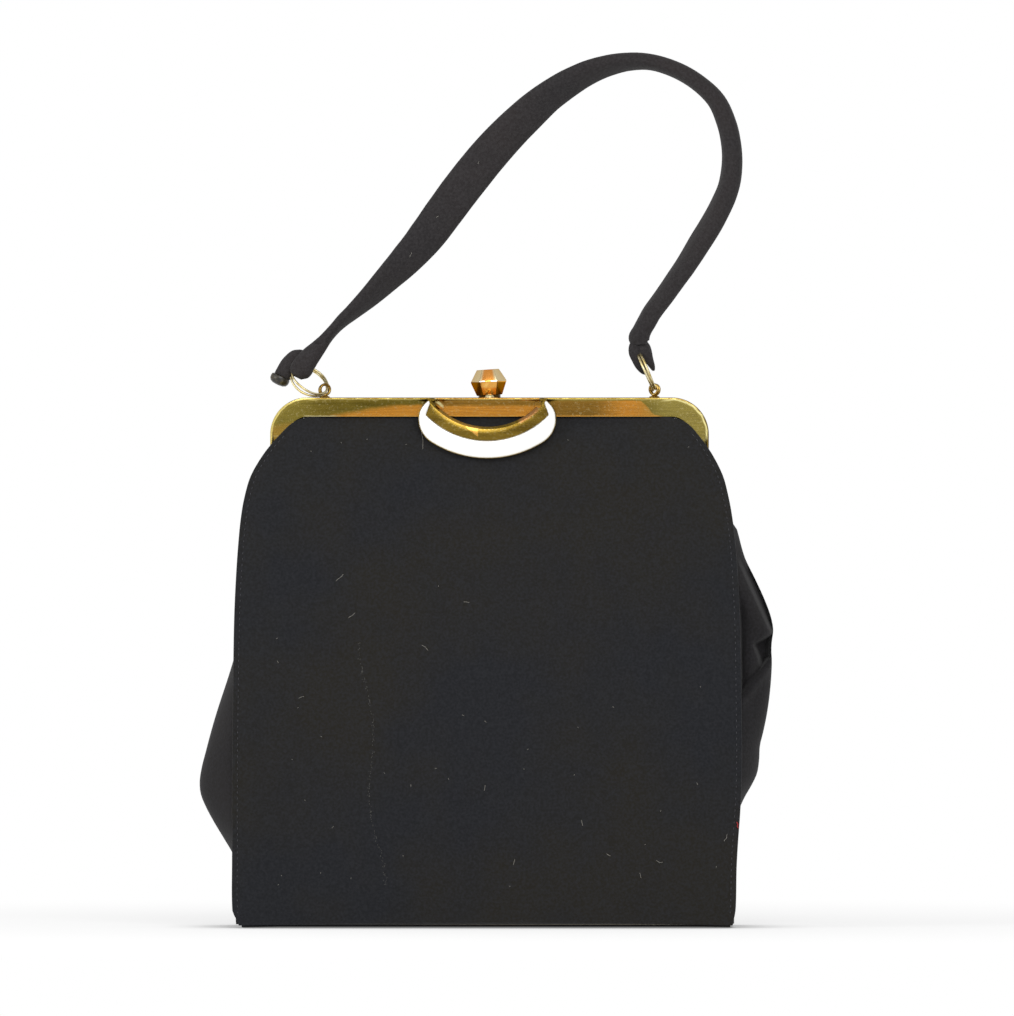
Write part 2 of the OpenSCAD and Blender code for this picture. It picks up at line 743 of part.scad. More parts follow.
// Open bag of lining, on the base board and between the stiffening boards
module lining_bag() {
  inset = cloth_t + board_t + 2 * ease;
  color(lining_cloth) difference() {
    lining_wedge(lining_x, inset, lining_floor_z, lining_top_z);
    lining_wedge(lining_x - lining_t, inset + lining_t, lining_floor_z + lining_t, lining_top_z + 1);
  }
}

module lining_wedge(half_x, inset, z0, z1) {
  y0 = out_y(z0) - inset;
  y1 = out_y(z1) - inset;
  translate([-half_x, 0, 0]) rotate([90, 0, 90]) linear_extrude(2 * half_x)
    polygon([[-y0, z0], [y0, z0], [y1, z1], [-y1, z1]]);
}

// Flat slip pocket sewn to the rear lining
module inside_pocket() {
  z0 = pocket_low_z;
  z1 = pocket_low_z + pocket_h;
  color(lining_cloth) mirror([0, 1, 0])
    slope_sheet(cloth_t + board_t + 2 * ease + lining_t, lining_t, z0, z1, strip(z0, z1, pocket_w / 2));
}

rear_leaf();
front_leaf();
hinge_rivets();
knob();
knob_saddle();
knob_stud();
catch_bead();
crescent_plate();
crescent_enamel();
crescent_rivets();
left_ring_post();
right_ring_post();
left_ring();
right_ring();
strap_cover();
strap_core();
left_strap_loop();
right_strap_loop();
strap_tip();
front_yoke();
front_yoke_lining();
front_panel();
front_board();
rear_panel();
rear_board();
rear_yoke_lining();
base_panel();
base_board();
left_gusset();
right_gusset();
lining_bag();
inside_pocket();
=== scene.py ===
import math
import random

import bmesh
import bpy
import numpy as np
from mathutils import Matrix, Vector, noise


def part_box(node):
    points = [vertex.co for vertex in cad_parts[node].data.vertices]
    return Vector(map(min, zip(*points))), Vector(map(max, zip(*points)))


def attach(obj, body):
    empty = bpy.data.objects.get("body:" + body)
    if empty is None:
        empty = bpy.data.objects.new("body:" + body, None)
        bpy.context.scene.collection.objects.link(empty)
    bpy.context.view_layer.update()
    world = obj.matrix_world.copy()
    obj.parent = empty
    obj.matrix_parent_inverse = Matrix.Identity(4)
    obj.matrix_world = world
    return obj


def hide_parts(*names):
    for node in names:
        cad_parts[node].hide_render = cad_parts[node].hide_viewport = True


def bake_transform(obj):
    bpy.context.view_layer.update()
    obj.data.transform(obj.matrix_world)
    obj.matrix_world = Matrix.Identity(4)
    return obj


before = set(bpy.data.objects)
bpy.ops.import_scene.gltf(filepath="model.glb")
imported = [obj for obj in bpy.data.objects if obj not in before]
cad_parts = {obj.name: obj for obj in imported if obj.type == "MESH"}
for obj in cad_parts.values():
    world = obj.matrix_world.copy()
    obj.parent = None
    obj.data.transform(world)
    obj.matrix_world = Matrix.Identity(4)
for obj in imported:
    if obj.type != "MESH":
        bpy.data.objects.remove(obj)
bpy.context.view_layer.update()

scene = bpy.context.scene
scene.view_settings.view_transform = "Standard"
mm = 0.001

# Camera. The purse is seen square on from the front, level with its middle,
# from far enough away that the frame's top edge doesn't show.
photo_width_px = 1014
photo_height_px = 1016
purse_middle_px = 489.5
foot_px = 926.5
mm_per_px = 190 / 439
camera_distance = 8000 * mm
front_plane = -12 * mm
sensor_mm = 36
seen_height = photo_height_px * mm_per_px * mm
camera_data = bpy.data.cameras.new("camera")
camera_data.sensor_width = sensor_mm
camera_data.lens = sensor_mm * (camera_distance + front_plane) / seen_height
camera = bpy.data.objects.new("camera", camera_data)
camera.location = (
    (photo_width_px / 2 - purse_middle_px) * mm_per_px * mm,
    -camera_distance,
    (foot_px - photo_height_px / 2) * mm_per_px * mm,
)
camera.rotation_euler = (math.radians(90), 0, 0)
scene.collection.objects.link(camera)
scene.camera = camera


# Floor and light. A white sweep that keeps the purse's own shadow and has a painted contact shadow in its
# glow, with one broad soft lamp high in front, a weaker one at the left and an even white surround.
def linear(hex_colour):
    channels = [int(hex_colour[i:i + 2], 16) / 255 for i in (1, 3, 5)]
    return [c / 12.92 if c <= 0.04045 else ((c + 0.055) / 1.055) ** 2.4 for c in channels] + [1]


def add_node(tree, kind, inputs=None, **settings):
    """A node with its settings and inputs; a node given as an input stands for its first output."""
    made = tree.nodes.new("ShaderNode" + kind)
    for key, value in settings.items():
        setattr(made, key, value)
    for key, value in (inputs or {}).items():
        if isinstance(value, bpy.types.Node):
            value = value.outputs[0]
        if isinstance(value, bpy.types.NodeSocket):
            tree.links.new(value, made.inputs[key])
        else:
            made.inputs[key].default_value = value
    return made


def new_material(name):
    made = bpy.data.materials.new(name)
    made.use_nodes = True
    made.node_tree.nodes.clear()
    return made, made.node_tree


def add_output(tree, shader):
    add_node(tree, "OutputMaterial", {"Surface": shader})


floor_half = 3.0
floor_mesh = bpy.data.meshes.new("floor")
floor_mesh.from_pydata(
    [(-floor_half, -floor_half, 0), (floor_half, -floor_half, 0),
     (floor_half, floor_half, 0), (-floor_half, floor_half, 0)], [], [(0, 1, 2, 3)])
floor = bpy.data.objects.new("floor", floor_mesh)
floor.location.z = -0.3 * mm
scene.collection.objects.link(floor)
paper, tree = new_material("white_paper_sweep")
# White paper, glowing pure white to the camera away from the bag; near it the glow gives way to the
# paper's own lit shading, and an ambient-occlusion term paints a dark contact shadow into the glow.
shadow_reach = 36 * mm
darkest_contact = 0.35
bag_reach = 0.16
white_reach = 0.6
glow_at_bag = 0.6
place = add_node(tree, "TexCoord").outputs["Object"]
away = add_node(tree, "VectorMath", {0: place}, operation="LENGTH")
plain = add_node(tree, "MapRange", {
    "Value": away.outputs["Value"], "From Min": bag_reach, "From Max": white_reach,
    "To Min": glow_at_bag, "To Max": 1.0}, interpolation_type="SMOOTHSTEP")
# Ambient occlusion dims the glow near the bag: a painted contact shadow
contact = add_node(tree, "AmbientOcclusion", {"Distance": shadow_reach}, samples=8)
depth = add_node(tree, "MapRange", {
    "Value": contact.outputs["AO"], "From Min": darkest_contact, "From Max": 0.95,
    "To Min": darkest_contact, "To Max": 1.0})
path = add_node(tree, "LightPath")
seen = add_node(tree, "Math", {
    0: path.outputs["Is Camera Ray"], 1: path.outputs["Is Glossy Ray"]}, operation="MAXIMUM")
seen = add_node(tree, "Math", {0: seen, 1: path.outputs["Is Transmission Ray"]}, operation="MAXIMUM")
share = add_node(tree, "Math", {0: seen, 1: plain}, operation="MULTIPLY")
glow = add_node(tree, "Emission", {"Color": linear("#ffffff"), "Strength": depth})
matt = add_node(tree, "BsdfDiffuse", {"Color": linear("#ffffff")})
mixed = add_node(tree, "MixShader", {0: share, 1: matt, 2: glow})
add_output(tree, mixed)
floor_mesh.materials.append(paper)

world = bpy.data.worlds.new("studio")
world.use_nodes = True
scene.world = world
tree = world.node_tree
tree.nodes.clear()
path = add_node(tree, "LightPath")
surround = add_node(tree, "Background", {"Color": linear("#ffffff"), "Strength": 0.62})
backdrop = add_node(tree, "Background", {"Color": linear("#ffffff"), "Strength": 1})
mixed = add_node(tree, "MixShader", {0: path.outputs["Is Camera Ray"], 1: surround, 2: backdrop})
add_node(tree, "OutputWorld", {"Surface": mixed})

for name, spot, size, watts in (
        ("front_lamp", (0.25, -1.6, 1.15), 1.1, 17),
        ("left_lamp", (-1.3, -0.7, 0.7), 0.8, 6)):
    lamp_data = bpy.data.lights.new(name, "AREA")
    lamp_data.size = size
    lamp_data.energy = watts
    lamp = bpy.data.objects.new(name, lamp_data)
    lamp.location = spot
    lamp.rotation_euler = (Vector((0, 0, 0.15)) - lamp.location).to_track_quat("-Z", "Y").to_euler()
    scene.collection.objects.link(lamp)


# Frame leaves. Two channels of brass sheet, pressed with a rolled bead along the outer
# edge and a thin lip along the cloth, bent to an arch, with hinge ears at the arms' ends.
def mesh_piece(name, points, faces, material, body, sharp_angle=35):
    mesh = bpy.data.meshes.new(name)
    mesh.from_pydata([tuple(p) for p in points], [], faces)
    work = bmesh.new()
    work.from_mesh(mesh)
    bmesh.ops.recalc_face_normals(work, faces=work.faces)
    work.to_mesh(mesh)
    work.free()
    mesh.shade_smooth()
    mesh.set_sharp_from_angle(angle=math.radians(sharp_angle))
    mesh.materials.append(material)
    piece = bpy.data.objects.new(name, mesh)
    scene.collection.objects.link(piece)
    if body:
        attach(piece, body)
    return piece


def skin(rings):
    """Points and faces of a closed skin through rings of equal point counts, capped at both ends."""
    around, last = len(rings[0]), (len(rings) - 1) * len(rings[0])
    faces = []
    for start in range(0, last, around):
        for j in range(around):
            k = (j + 1) % around
            faces.append((start + j, start + k, start + around + k, start + around + j))
    faces += [tuple(range(around)), tuple(range(last, last + around))]
    return [p for ring in rings for p in ring], faces


def joined(parts):
    points, faces = [], []
    for some_points, some_faces in parts:
        start = len(points)
        points += list(some_points)
        faces += [tuple(start + i for i in face) for face in some_faces]
    return points, faces


def round_turn(count):
    """Angles of evenly spaced points on a circle."""
    return [2 * math.pi * j / count for j in range(count)]


def disc_stack(centre, axis, rows, sides=48):
    """A turned form about an axis through centre: rows are (height, radius)."""
    axis = Vector(axis).normalized()
    one = axis.orthogonal().normalized()
    two = axis.cross(one)
    rings = []
    for height, radius in rows:
        middle = Vector(centre) + axis * height
        rings.append([middle + (one * math.cos(a) + two * math.sin(a)) * radius
                      for a in round_turn(sides)])
    return skin(rings)


leaf_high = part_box("rear_leaf")[1]
half_frame = leaf_high.x
frame_top = leaf_high.z
leaf_in = 0.2 * mm
leaf_out = leaf_high.y
corner_r = 16 * mm
face_h = 8.7 * mm
hinge_z = frame_top - 45 * mm
arm_end_z = hinge_z + 6 * mm


def arch_path():
    """Outer edge of a leaf and its inward direction, from the left arm's end to the right's."""
    steps = 20
    path = [((-half_frame, z), (1, 0)) for z in np.linspace(arm_end_z, frame_top - corner_r, 8)]
    for i in range(1, steps + 1):
        a = math.pi - i * math.pi / 2 / steps
        path.append(((-half_frame + corner_r + corner_r * math.cos(a),
                      frame_top - corner_r + corner_r * math.sin(a)), (-math.cos(a), -math.sin(a))))
    for x in np.linspace(-half_frame + corner_r, 0, 12)[1:]:
        path.append(((x, frame_top), (0, -1)))
    return path + [((-x, z), (-nx, nz)) for (x, z), (nx, nz) in reversed(path[:-1])]


# Channel section as (distance in from the outer edge, distance from the bag's middle): the
# lip, the flat face, the rolled bead, the outer wall and the flange inside the bag
channel = [(d * mm, y * mm) for d, y in (
    (8.0, 6.75), (8.27, 6.95), (8.37, 7.3), (8.35, 7.65), (8.25, 7.86), (8.07, 7.88), (7.91, 7.76),
    (7.75, 7.62), (6, 7.62), (4, 7.64), (2.4, 7.62), (1.5, 7.62), (1.2, 7.78), (0.95, 7.98),
    (0.6, 8.05), (0.25, 7.92), (0.05, 7.6), (0, 7.1), (0, 5), (0, 2.5), (0, 0.7), (0.12, 0.32),
    (0.5, 0.2), (4, 0.2), (8.2, 0.2), (8.6, 0.4), (8.7, 0.8), (8.5, 1.15), (8, 1.2), (4, 1.2),
    (1.2, 1.2), (1, 1.4), (1, 6.5), (1.2, 6.7), (4, 6.7), (7.6, 6.7))]
ear_r = 4.5 * mm
ear_t = 1.2 * mm
ear_middle = half_frame - face_h / 2
ear_gap = 0.3 * mm


def leaf_mesh(side, ear_x):
    """A whole leaf: side is 1 for the rear one and -1 for the front one."""
    rings = [[Vector((x + nx * d, side * y, z + nz * d)) for d, y in channel]
             for (x, z), (nx, nz) in arch_path()]
    parts = [skin(rings)]
    ear_top = arm_end_z + 5 * mm
    outline = [(side * leaf_in, ear_top), (side * leaf_in, hinge_z + ear_r * 0.98)]
    for a in np.linspace(0, 1.5 * math.pi, 17):
        outline.append((math.sin(a) * -ear_r * side, hinge_z + math.cos(a) * ear_r))
    outline.append((side * ear_r, ear_top))
    for hand in (-1, 1):
        parts.append(skin([[Vector((hand * x, y, z)) for y, z in outline] for x in (ear_x, ear_x + ear_t)]))
    return joined(parts)


def with_stains_and_painted_light(tree, place, colour, patches):
    """Colour with soft-edged patches on it: stains, and painted highlights, shade and reflections alike. A
    patch is (colour, strength, edges), an edge (across, up, limit, soft) in mm: it lies where across * x + up
    * (z - frame top) > limit.
    An edge that starts with "disc" is (x, z - frame top, radius, soft): it lies outside the
    disc, or inside it when the radius is negative."""
    flat = add_node(tree, "VectorMath", {0: place, 1: (1, 0, 1)}, operation="MULTIPLY")
    for patch_colour, strength, edges in patches:
        share = None
        for *kind, across, up, limit, soft in edges:
            if kind:
                middle = (across * mm, 0, frame_top + up * mm)
                reach = add_node(tree, "VectorMath", {0: flat, 1: middle}, operation="DISTANCE")
                sense = 1 if limit > 0 else -1
                low, high = sense * (limit - soft) * mm, sense * (limit + soft) * mm
            else:
                reach = add_node(tree, "VectorMath", {
                    0: place, 1: (across, 0, up)}, operation="DOT_PRODUCT")
                low, high = [(limit + step) * mm + up * frame_top for step in (-soft, soft)]
            inside = add_node(tree, "MapRange", {
                "Value": reach.outputs["Value"], "From Min": low, "From Max": high,
                "To Max": strength if share is None else 1}, interpolation_type="SMOOTHSTEP")
            if share:
                inside = add_node(tree, "Math", {0: share, 1: inside}, operation="MULTIPLY")
            share = inside
        mixed = add_node(tree, "Mix", {0: share, 6: colour, 7: linear(patch_colour)}, data_type="RGBA")
        colour = mixed.outputs[2]
    return colour


def mottled(tree, place, scale, detail, stops, roughness=0.5):
    """Noise with so many cells to the metre, and the colours (position, hex) that it runs through."""
    cloud = add_node(tree, "TexNoise", {
        "Vector": place, "Scale": scale, "Detail": detail, "Roughness": roughness})
    colours = add_node(tree, "ValToRGB", {"Fac": cloud})
    for element, (position, hex_colour) in zip(colours.color_ramp.elements, stops):
        element.position = position
        element.color = linear(hex_colour)
    return cloud, colours


def brass(name, dark, light, patches):
    """Polished brass sheet with thin worn gilding: scratches along it, drawn 0.35 mm apart so
    that they show, and dull specks about 1 mm across; its patches, painted light among them, wander by half a
    millimetre."""
    made, tree = new_material(name)
    place = add_node(tree, "TexCoord").outputs["Object"]
    stretch = add_node(tree, "Mapping", {"Vector": place, "Scale": (14, 30, 90)})
    olive = mottled(tree, stretch, 2.2, 4, ((0.36, dark), (0.64, light)), 0.6)[1]
    wander = add_node(tree, "TexNoise", {"Vector": place, "Scale": 260, "Detail": 3})
    centred = add_node(tree, "VectorMath", {
        0: wander.outputs["Color"], 1: (0.5,) * 3}, operation="SUBTRACT")
    shifted = add_node(tree, "VectorMath", {
        0: centred, 1: (mm,) * 3, 2: place}, operation="MULTIPLY_ADD")
    colour = with_stains_and_painted_light(tree, shifted, olive, patches)
    scratch_map = add_node(tree, "Mapping", {"Vector": place, "Scale": (60, 900, 2400)})
    scratches = add_node(tree, "TexNoise", {
        "Vector": scratch_map, "Scale": 1.2, "Detail": 4, "Roughness": 0.7})
    grain = add_node(tree, "TexNoise", {"Vector": place, "Scale": 1100, "Detail": 3, "Roughness": 0.7})
    worn = add_node(tree, "MapRange", {
        "Value": grain, "From Min": 0.56, "From Max": 0.78, "To Max": 0.45})
    speckled = add_node(tree, "Mix", {0: worn, 6: colour, 7: linear("#e6d6a0")}, data_type="RGBA")
    dull = add_node(tree, "MapRange", {
        "Value": scratches, "From Min": 0.3, "From Max": 0.75, "To Min": 0.16, "To Max": 0.36})
    height = add_node(tree, "Math", {0: scratches, 1: grain}, operation="ADD")
    bump = add_node(tree, "Bump", {"Height": height, "Strength": 0.12, "Distance": 0.05 * mm})
    shader = add_node(tree, "BsdfPrincipled", {
        "Base Color": speckled.outputs[2], "Metallic": 1.0, "Roughness": dull, "Normal": bump})
    add_output(tree, shader)
    return made


# Rolled brass sheet, gilt olive, with painted light: amber painted reflections along the lower half left of
# the clasp and in one sharp patch at its right, painted highlights along the lip, under the top edge and
# round both corners, a pale painted reflection of the crescent's edge by its left horn, and painted shade
# along the top and beyond the right corner.
corner_up = -corner_r / mm
corner_across = (half_frame - corner_r) / mm
right_centre, left_centre = (corner_across, corner_up), (-corner_across, corner_up)
right_corner = [(1, 0, corner_across - 3, 3), (0, 1, corner_up - 4, 3)]
left_corner = [(-1, 0, corner_across - 3, 3), (0, 1, corner_up - 4, 3)]
polished_brass = brass("polished_frame_brass", "#65571f", "#85732f", [
    # Amber painted reflection low down left of the clasp
    ("#cc8a34", 0.95, [(1, -5.74, -22, 8), (-1, 0, -24, 3), (0, -1, 3.4, 0.9)]),
    ("#946326", 0.6, [(1, 0, -24, 3), (-1, 0, -24, 3), (0, 1, -3.4, 0.9)]),
    ("#94652a", 0.6, [(1, 0, 25, 4), (-1, 0, -56, 8), (0, -1, 1.4, 0.6)]),
    # A sharp amber painted reflection at the right
    ("#cc8a36", 0.95, [(1, 0, 52, 8), (-1, -0.95, -64.2, 0.5), (0, -1, 1.4, 0.4)]),
    ("#a2924c", 0.8, [(1, 0, 70, 9)]),
    ("#94853d", 0.7, [(-1, 0, 78, 7)]),
    # A pale painted reflection of the crescent's edge beside its left horn
    ("#ece0a4", 0.75, [(0.61, 0.79, -15.9, 0.3), (-0.61, -0.79, 14.8, 0.4),
                       (-1, 0, 20, 0.6), (1, 0, -27, 1)]),
    # Painted shade beyond the right corner's rim, then painted highlights round both corners
    ("#6a5020", 0.7, [("disc", *right_centre, 15.4, 0.15), right_corner[0], (0, 1, corner_up - 20, 3)]),
    ("#fff2a8", 0.9, [("disc", *right_centre, 14.7, 0.2), ("disc", *right_centre, -15.4, 0.15),
                      *right_corner]),
    ("#ffe98c", 0.8, [("disc", *left_centre, 15.0, 0.2), *left_corner]),
    # A painted highlight just under the top edge, then painted shade along the top
    ("#dcc878", 0.5, [(0, 1, -1.1, 0.15), (0, -1, 0.6, 0.15), (1, 0, -79, 2), (-1, 0, -79, 2)]),
    ("#6a4a1c", 0.7, [(0, 1, -0.4, 0.15), (1, 0, -79, 2), (-1, 0, -79, 2)]),
    # Painted highlights along the lip
    ("#dca24a", 0.8, [(0, -1, 7.75, 0.1), (1, 0, -66, 3), (-1, 0, -74, 2)]),
    ("#ddd09a", 0.7, [(0, -1, 7.75, 0.1), (1, 0, -80, 1), (-1, 0, 66, 3)])])

front_leaf = mesh_piece("front_leaf_channel", *leaf_mesh(-1, ear_middle - ear_gap / 2 - ear_t),
                        polished_brass, "front_leaf")
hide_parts("front_leaf")
# The rear leaf is the same brass without the front leaf's patches, with painted highlights only round its
# corners and along its lip
plain_brass = brass("plain_frame_brass", "#65571f", "#8a7832", [
    ("#e6cf7c", 0.8, [("disc", *right_centre, 14.9, 0.3), *right_corner]),
    ("#e6cf7c", 0.8, [("disc", *left_centre, 14.9, 0.3), *left_corner]),
    ("#b98a40", 0.6, [(0, -1, 7.75, 0.1), (1, 0, -78, 3), (-1, 0, -78, 3)])])
rear_leaf = mesh_piece("rear_leaf_channel", *leaf_mesh(1, ear_middle + ear_gap / 2), plain_brass, "bag")
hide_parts("rear_leaf")


# Hinge rivets. Soft brass rivets through both ears of each arm, headed over at both ends;
# their round heads and plain shanks stay as turned, with a bright unworn gilt.
pale_gilt, tree = new_material("pale_gilt_wire")
# Drawn brass wire with thin pale gilding: nearly white where it catches light,
# a little rubbed and warmer in the hollows.
place = add_node(tree, "TexCoord").outputs["Object"]
rubbed, gilt = mottled(tree, place, 420, 3, ((0.35, "#cdb878"), (0.6, "#e6dcb4")))
wear = add_node(tree, "MapRange", {"Value": rubbed, "To Min": 0.3, "To Max": 0.5})
shader = add_node(tree, "BsdfPrincipled", {"Base Color": gilt, "Metallic": 1.0, "Roughness": wear})
add_output(tree, shader)
# Brass painted dark brown for the knob's saddle: painted shade under the knob
shaded_saddle_brass = brass("saddle_brass_painted_shade", "#32240f", "#5c4420", [])


def coat(node, finish):
    """Gives a finish to a solid that shows as it was built."""
    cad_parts[node].data.materials.clear()
    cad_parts[node].data.materials.append(finish)


for node, finish in (("hinge_rivets", pale_gilt), ("knob_stud", pale_gilt), ("catch_bead", pale_gilt),
                     ("crescent_rivets", polished_brass), ("knob_saddle", shaded_saddle_brass)):
    coat(node, finish)


# Knob. A solid lantern-shaped brass knob with six flats, turned, milled and polished,
# its edges softened by use; it sits a little askew on its stud.
knob_low, knob_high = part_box("knob")
knob_middle = (knob_low + knob_high) / 2
girdle_z = knob_low.z + 5.6 * mm
foot_ring_z = knob_low.z - 0.35 * mm
knob_lean = math.radians(-4)
edge_round = 0.35 * mm
work = bmesh.new()
rings = []
for z, width_mm in ((foot_ring_z, 11.2), (girdle_z, 15.8), (knob_high.z, 9.8)):
    corner = width_mm / 2 * mm
    rings.append([
        work.verts.new((knob_middle.x + corner * math.cos(a), knob_middle.y + corner * math.sin(a), z))
        for a in (math.pi / 3 * i for i in range(6))])
for low, high in zip(rings, rings[1:]):
    for i in range(6):
        work.faces.new((low[i], low[(i + 1) % 6], high[(i + 1) % 6], high[i]))
work.faces.new(list(reversed(rings[0])))
work.faces.new(rings[-1])
bmesh.ops.bevel(work, geom=list(work.edges), offset=edge_round, segments=3, profile=0.6, affect="EDGES")
pivot = Vector((knob_middle.x, knob_middle.y, knob_low.z))
bmesh.ops.rotate(work, cent=pivot, matrix=Matrix.Rotation(knob_lean, 3, "Y"), verts=work.verts)
knob_mesh = bpy.data.meshes.new("knob_lantern")
work.to_mesh(knob_mesh)
work.free()
knob_mesh.shade_smooth()
knob_mesh.set_sharp_from_angle(angle=math.radians(20))
knob_brass, tree = new_material("amber_knob_brass")
# Solid brass, gilt more heavily than the frame: a clear amber, with brown painted shade on the lower side
# flats, nearly white painted highlights on the upper ones and a white painted highlight along the girdle's
# front edge; each other flat is painted in its own amber tone by how it faces the light.
place = add_node(tree, "TexCoord").outputs["Object"]
cloud, amber = mottled(tree, place, 260, 4, ((0.3, "#d18f3a"), (0.7, "#eeb45c")), 0.6)
girdle_up = (girdle_z - frame_top) / mm
lower_flats_painted_shade, upper_flats_painted_highlight, girdle_painted_highlight = "#6e430f", "#fff0c4", "#ffffff"
amber_flats = with_stains_and_painted_light(tree, place, amber, [
    (lower_flats_painted_shade, 0.85, [(0, -1, -girdle_up + 0.2, 0.3), (1, 0, 3.4, 0.8)]),
    (lower_flats_painted_shade, 0.85, [(0, -1, -girdle_up + 0.2, 0.3), (-1, 0, 3.6, 0.8)]),
    ("#f6c56c", 0.7, [(0, -1, -girdle_up + 0.8, 0.6), (-1, 0.35, 2.6, 0.3), (1, -0.35, -3.9, 0.3)]),
    ("#ee9c4a", 0.8, [(0, 1, girdle_up + 0.3, 0.2), (1, 0, -3.0, 0.4), (-1, 0, -1.6, 0.4)]),
    ("#b98c48", 0.7, [(0, 1, girdle_up + 0.3, 0.2), (1, 0, 1.8, 0.4)]),
    (upper_flats_painted_highlight, 0.9, [(0, 1, girdle_up + 0.2, 0.2), (1, 0.2, 3.9, 0.9)]),
    (upper_flats_painted_highlight, 0.9, [(0, 1, girdle_up - 0.3, 0.2), (-1, 0.2, 5.1, 0.9)]),
    # White painted highlights along the girdle's front edge
    (girdle_painted_highlight, 1.0, [(0, 1, girdle_up - 0.25, 0.08), (0, -1, -girdle_up - 0.25, 0.08),
                        (1, 0, -4.4, 0.3), (-1, 0, 2.2, 0.5)]),
    (girdle_painted_highlight, 1.0, [(0, 1, girdle_up - 0.15, 0.08), (0, -1, -girdle_up - 0.35, 0.08),
                        (1, 0, 0.6, 0.5), (-1, 0, -3.2, 0.3)])])
grit = add_node(tree, "MapRange", {"Value": cloud, "To Min": 0.12, "To Max": 0.3})
bump = add_node(tree, "Bump", {"Height": cloud, "Strength": 0.06, "Distance": 0.1 * mm})
shader = add_node(tree, "BsdfPrincipled", {
    "Base Color": amber_flats, "Metallic": 1.0, "Roughness": grit, "Specular Tint": linear("#d8a45c"),
    "Normal": bump})
add_output(tree, shader)
knob_mesh.materials.append(knob_brass)
knob = bpy.data.objects.new("knob_lantern", knob_mesh)
scene.collection.objects.link(knob)
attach(knob, "bag")
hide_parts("knob")


# Crescent. A stamped brass thumb piece with a wide gold band, bevelled along its inner
# edge, and a band of white enamel fired into the tray between the gold and a thin rim.
crescent_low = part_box("crescent_plate")[0]
inner_r = 31 * mm
gold_r = 37 * mm
lower_r = 45.5 * mm
shoulder_r = 12 * mm
centre_z = frame_top + 18.3 * mm
lower_z = crescent_low.z - 0.35 * mm
lower_centre_z = lower_z + lower_r
shoulder_x = 17.9 * mm
crescent_x = -1.0 * mm
shoulder_z = lower_centre_z - math.sqrt((lower_r - shoulder_r) ** 2 - shoulder_x ** 2)
crescent_top = frame_top - 0.4 * mm
back_y = crescent_low.y + 3.2 * mm
stations = 97


def lower_edge(shrink):
    """Outline of the crescent's outer side from the left horn's tip to the right one's."""
    start = math.pi - math.asin((crescent_top - shoulder_z) / (shoulder_r - shrink))
    meet = math.atan2(lower_centre_z - shoulder_z, shoulder_x)
    turn_r, sweep_r = shoulder_r - shrink, lower_r - shrink
    line = [(-shoulder_x + turn_r * math.cos(a), shoulder_z + turn_r * math.sin(a))
            for a in np.linspace(start, math.pi + meet, 30)]
    line += [(sweep_r * math.cos(a), lower_centre_z + sweep_r * math.sin(a))
             for a in np.linspace(math.pi + meet, 1.5 * math.pi, 40)[1:]]
    horn_h, lean = 7 * mm, 1.5 * mm
    lean_from = crescent_top - horn_h
    line = [(x + lean * max((z - lean_from) / horn_h, 0) ** 2, z) for x, z in line]
    return line + [(-x, z) for x, z in reversed(line[:-1])]


def arc_edge(radius, high):
    """Part of a circle about the crescent's centre, below a height."""
    reach = math.acos((centre_z - high) / radius)
    return [(radius * math.sin(a), centre_z - radius * math.cos(a)) for a in np.linspace(-reach, reach, 121)]


def even(line):
    """The same line with evenly spaced stations."""
    line = np.array(line)
    run = np.concatenate([[0], np.cumsum(np.linalg.norm(np.diff(line, axis=0), axis=1))])
    at = np.linspace(0, run[-1], stations)
    return np.column_stack([np.interp(at, run, line[:, 0]), np.interp(at, run, line[:, 1])])


outer_line = even(lower_edge(0))
rim_line = even(lower_edge(0.3 * mm))
inner_line = even(arc_edge(inner_r, crescent_top))
bevel_line = even(arc_edge(inner_r + 1.2 * mm, crescent_top))
# The gold band's outer edge: its arc, then a short run up each horn
horn_x, horn_tip_x = 26.5 * mm, 23.8 * mm
horn_turn_z = centre_z - math.sqrt(gold_r ** 2 - horn_x ** 2)
gold_line = even([(-horn_tip_x, crescent_top)] + arc_edge(gold_r, horn_turn_z) + [(horn_tip_x, crescent_top)])


def band(name, rows, material, stands_for):
    """A closed ribbon whose section runs through rows of (line, y)."""
    rings = [[Vector((crescent_x + line[i][0], y, line[i][1])) for line, y in rows] for i in range(stations)]
    piece = mesh_piece(name, *skin(rings), material, "front_leaf", 28)
    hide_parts(stands_for)


front_y = crescent_low.y
tray_y = front_y + 1.6 * mm


def blend_line(a, b, share):
    return a * (1 - share) + b * share


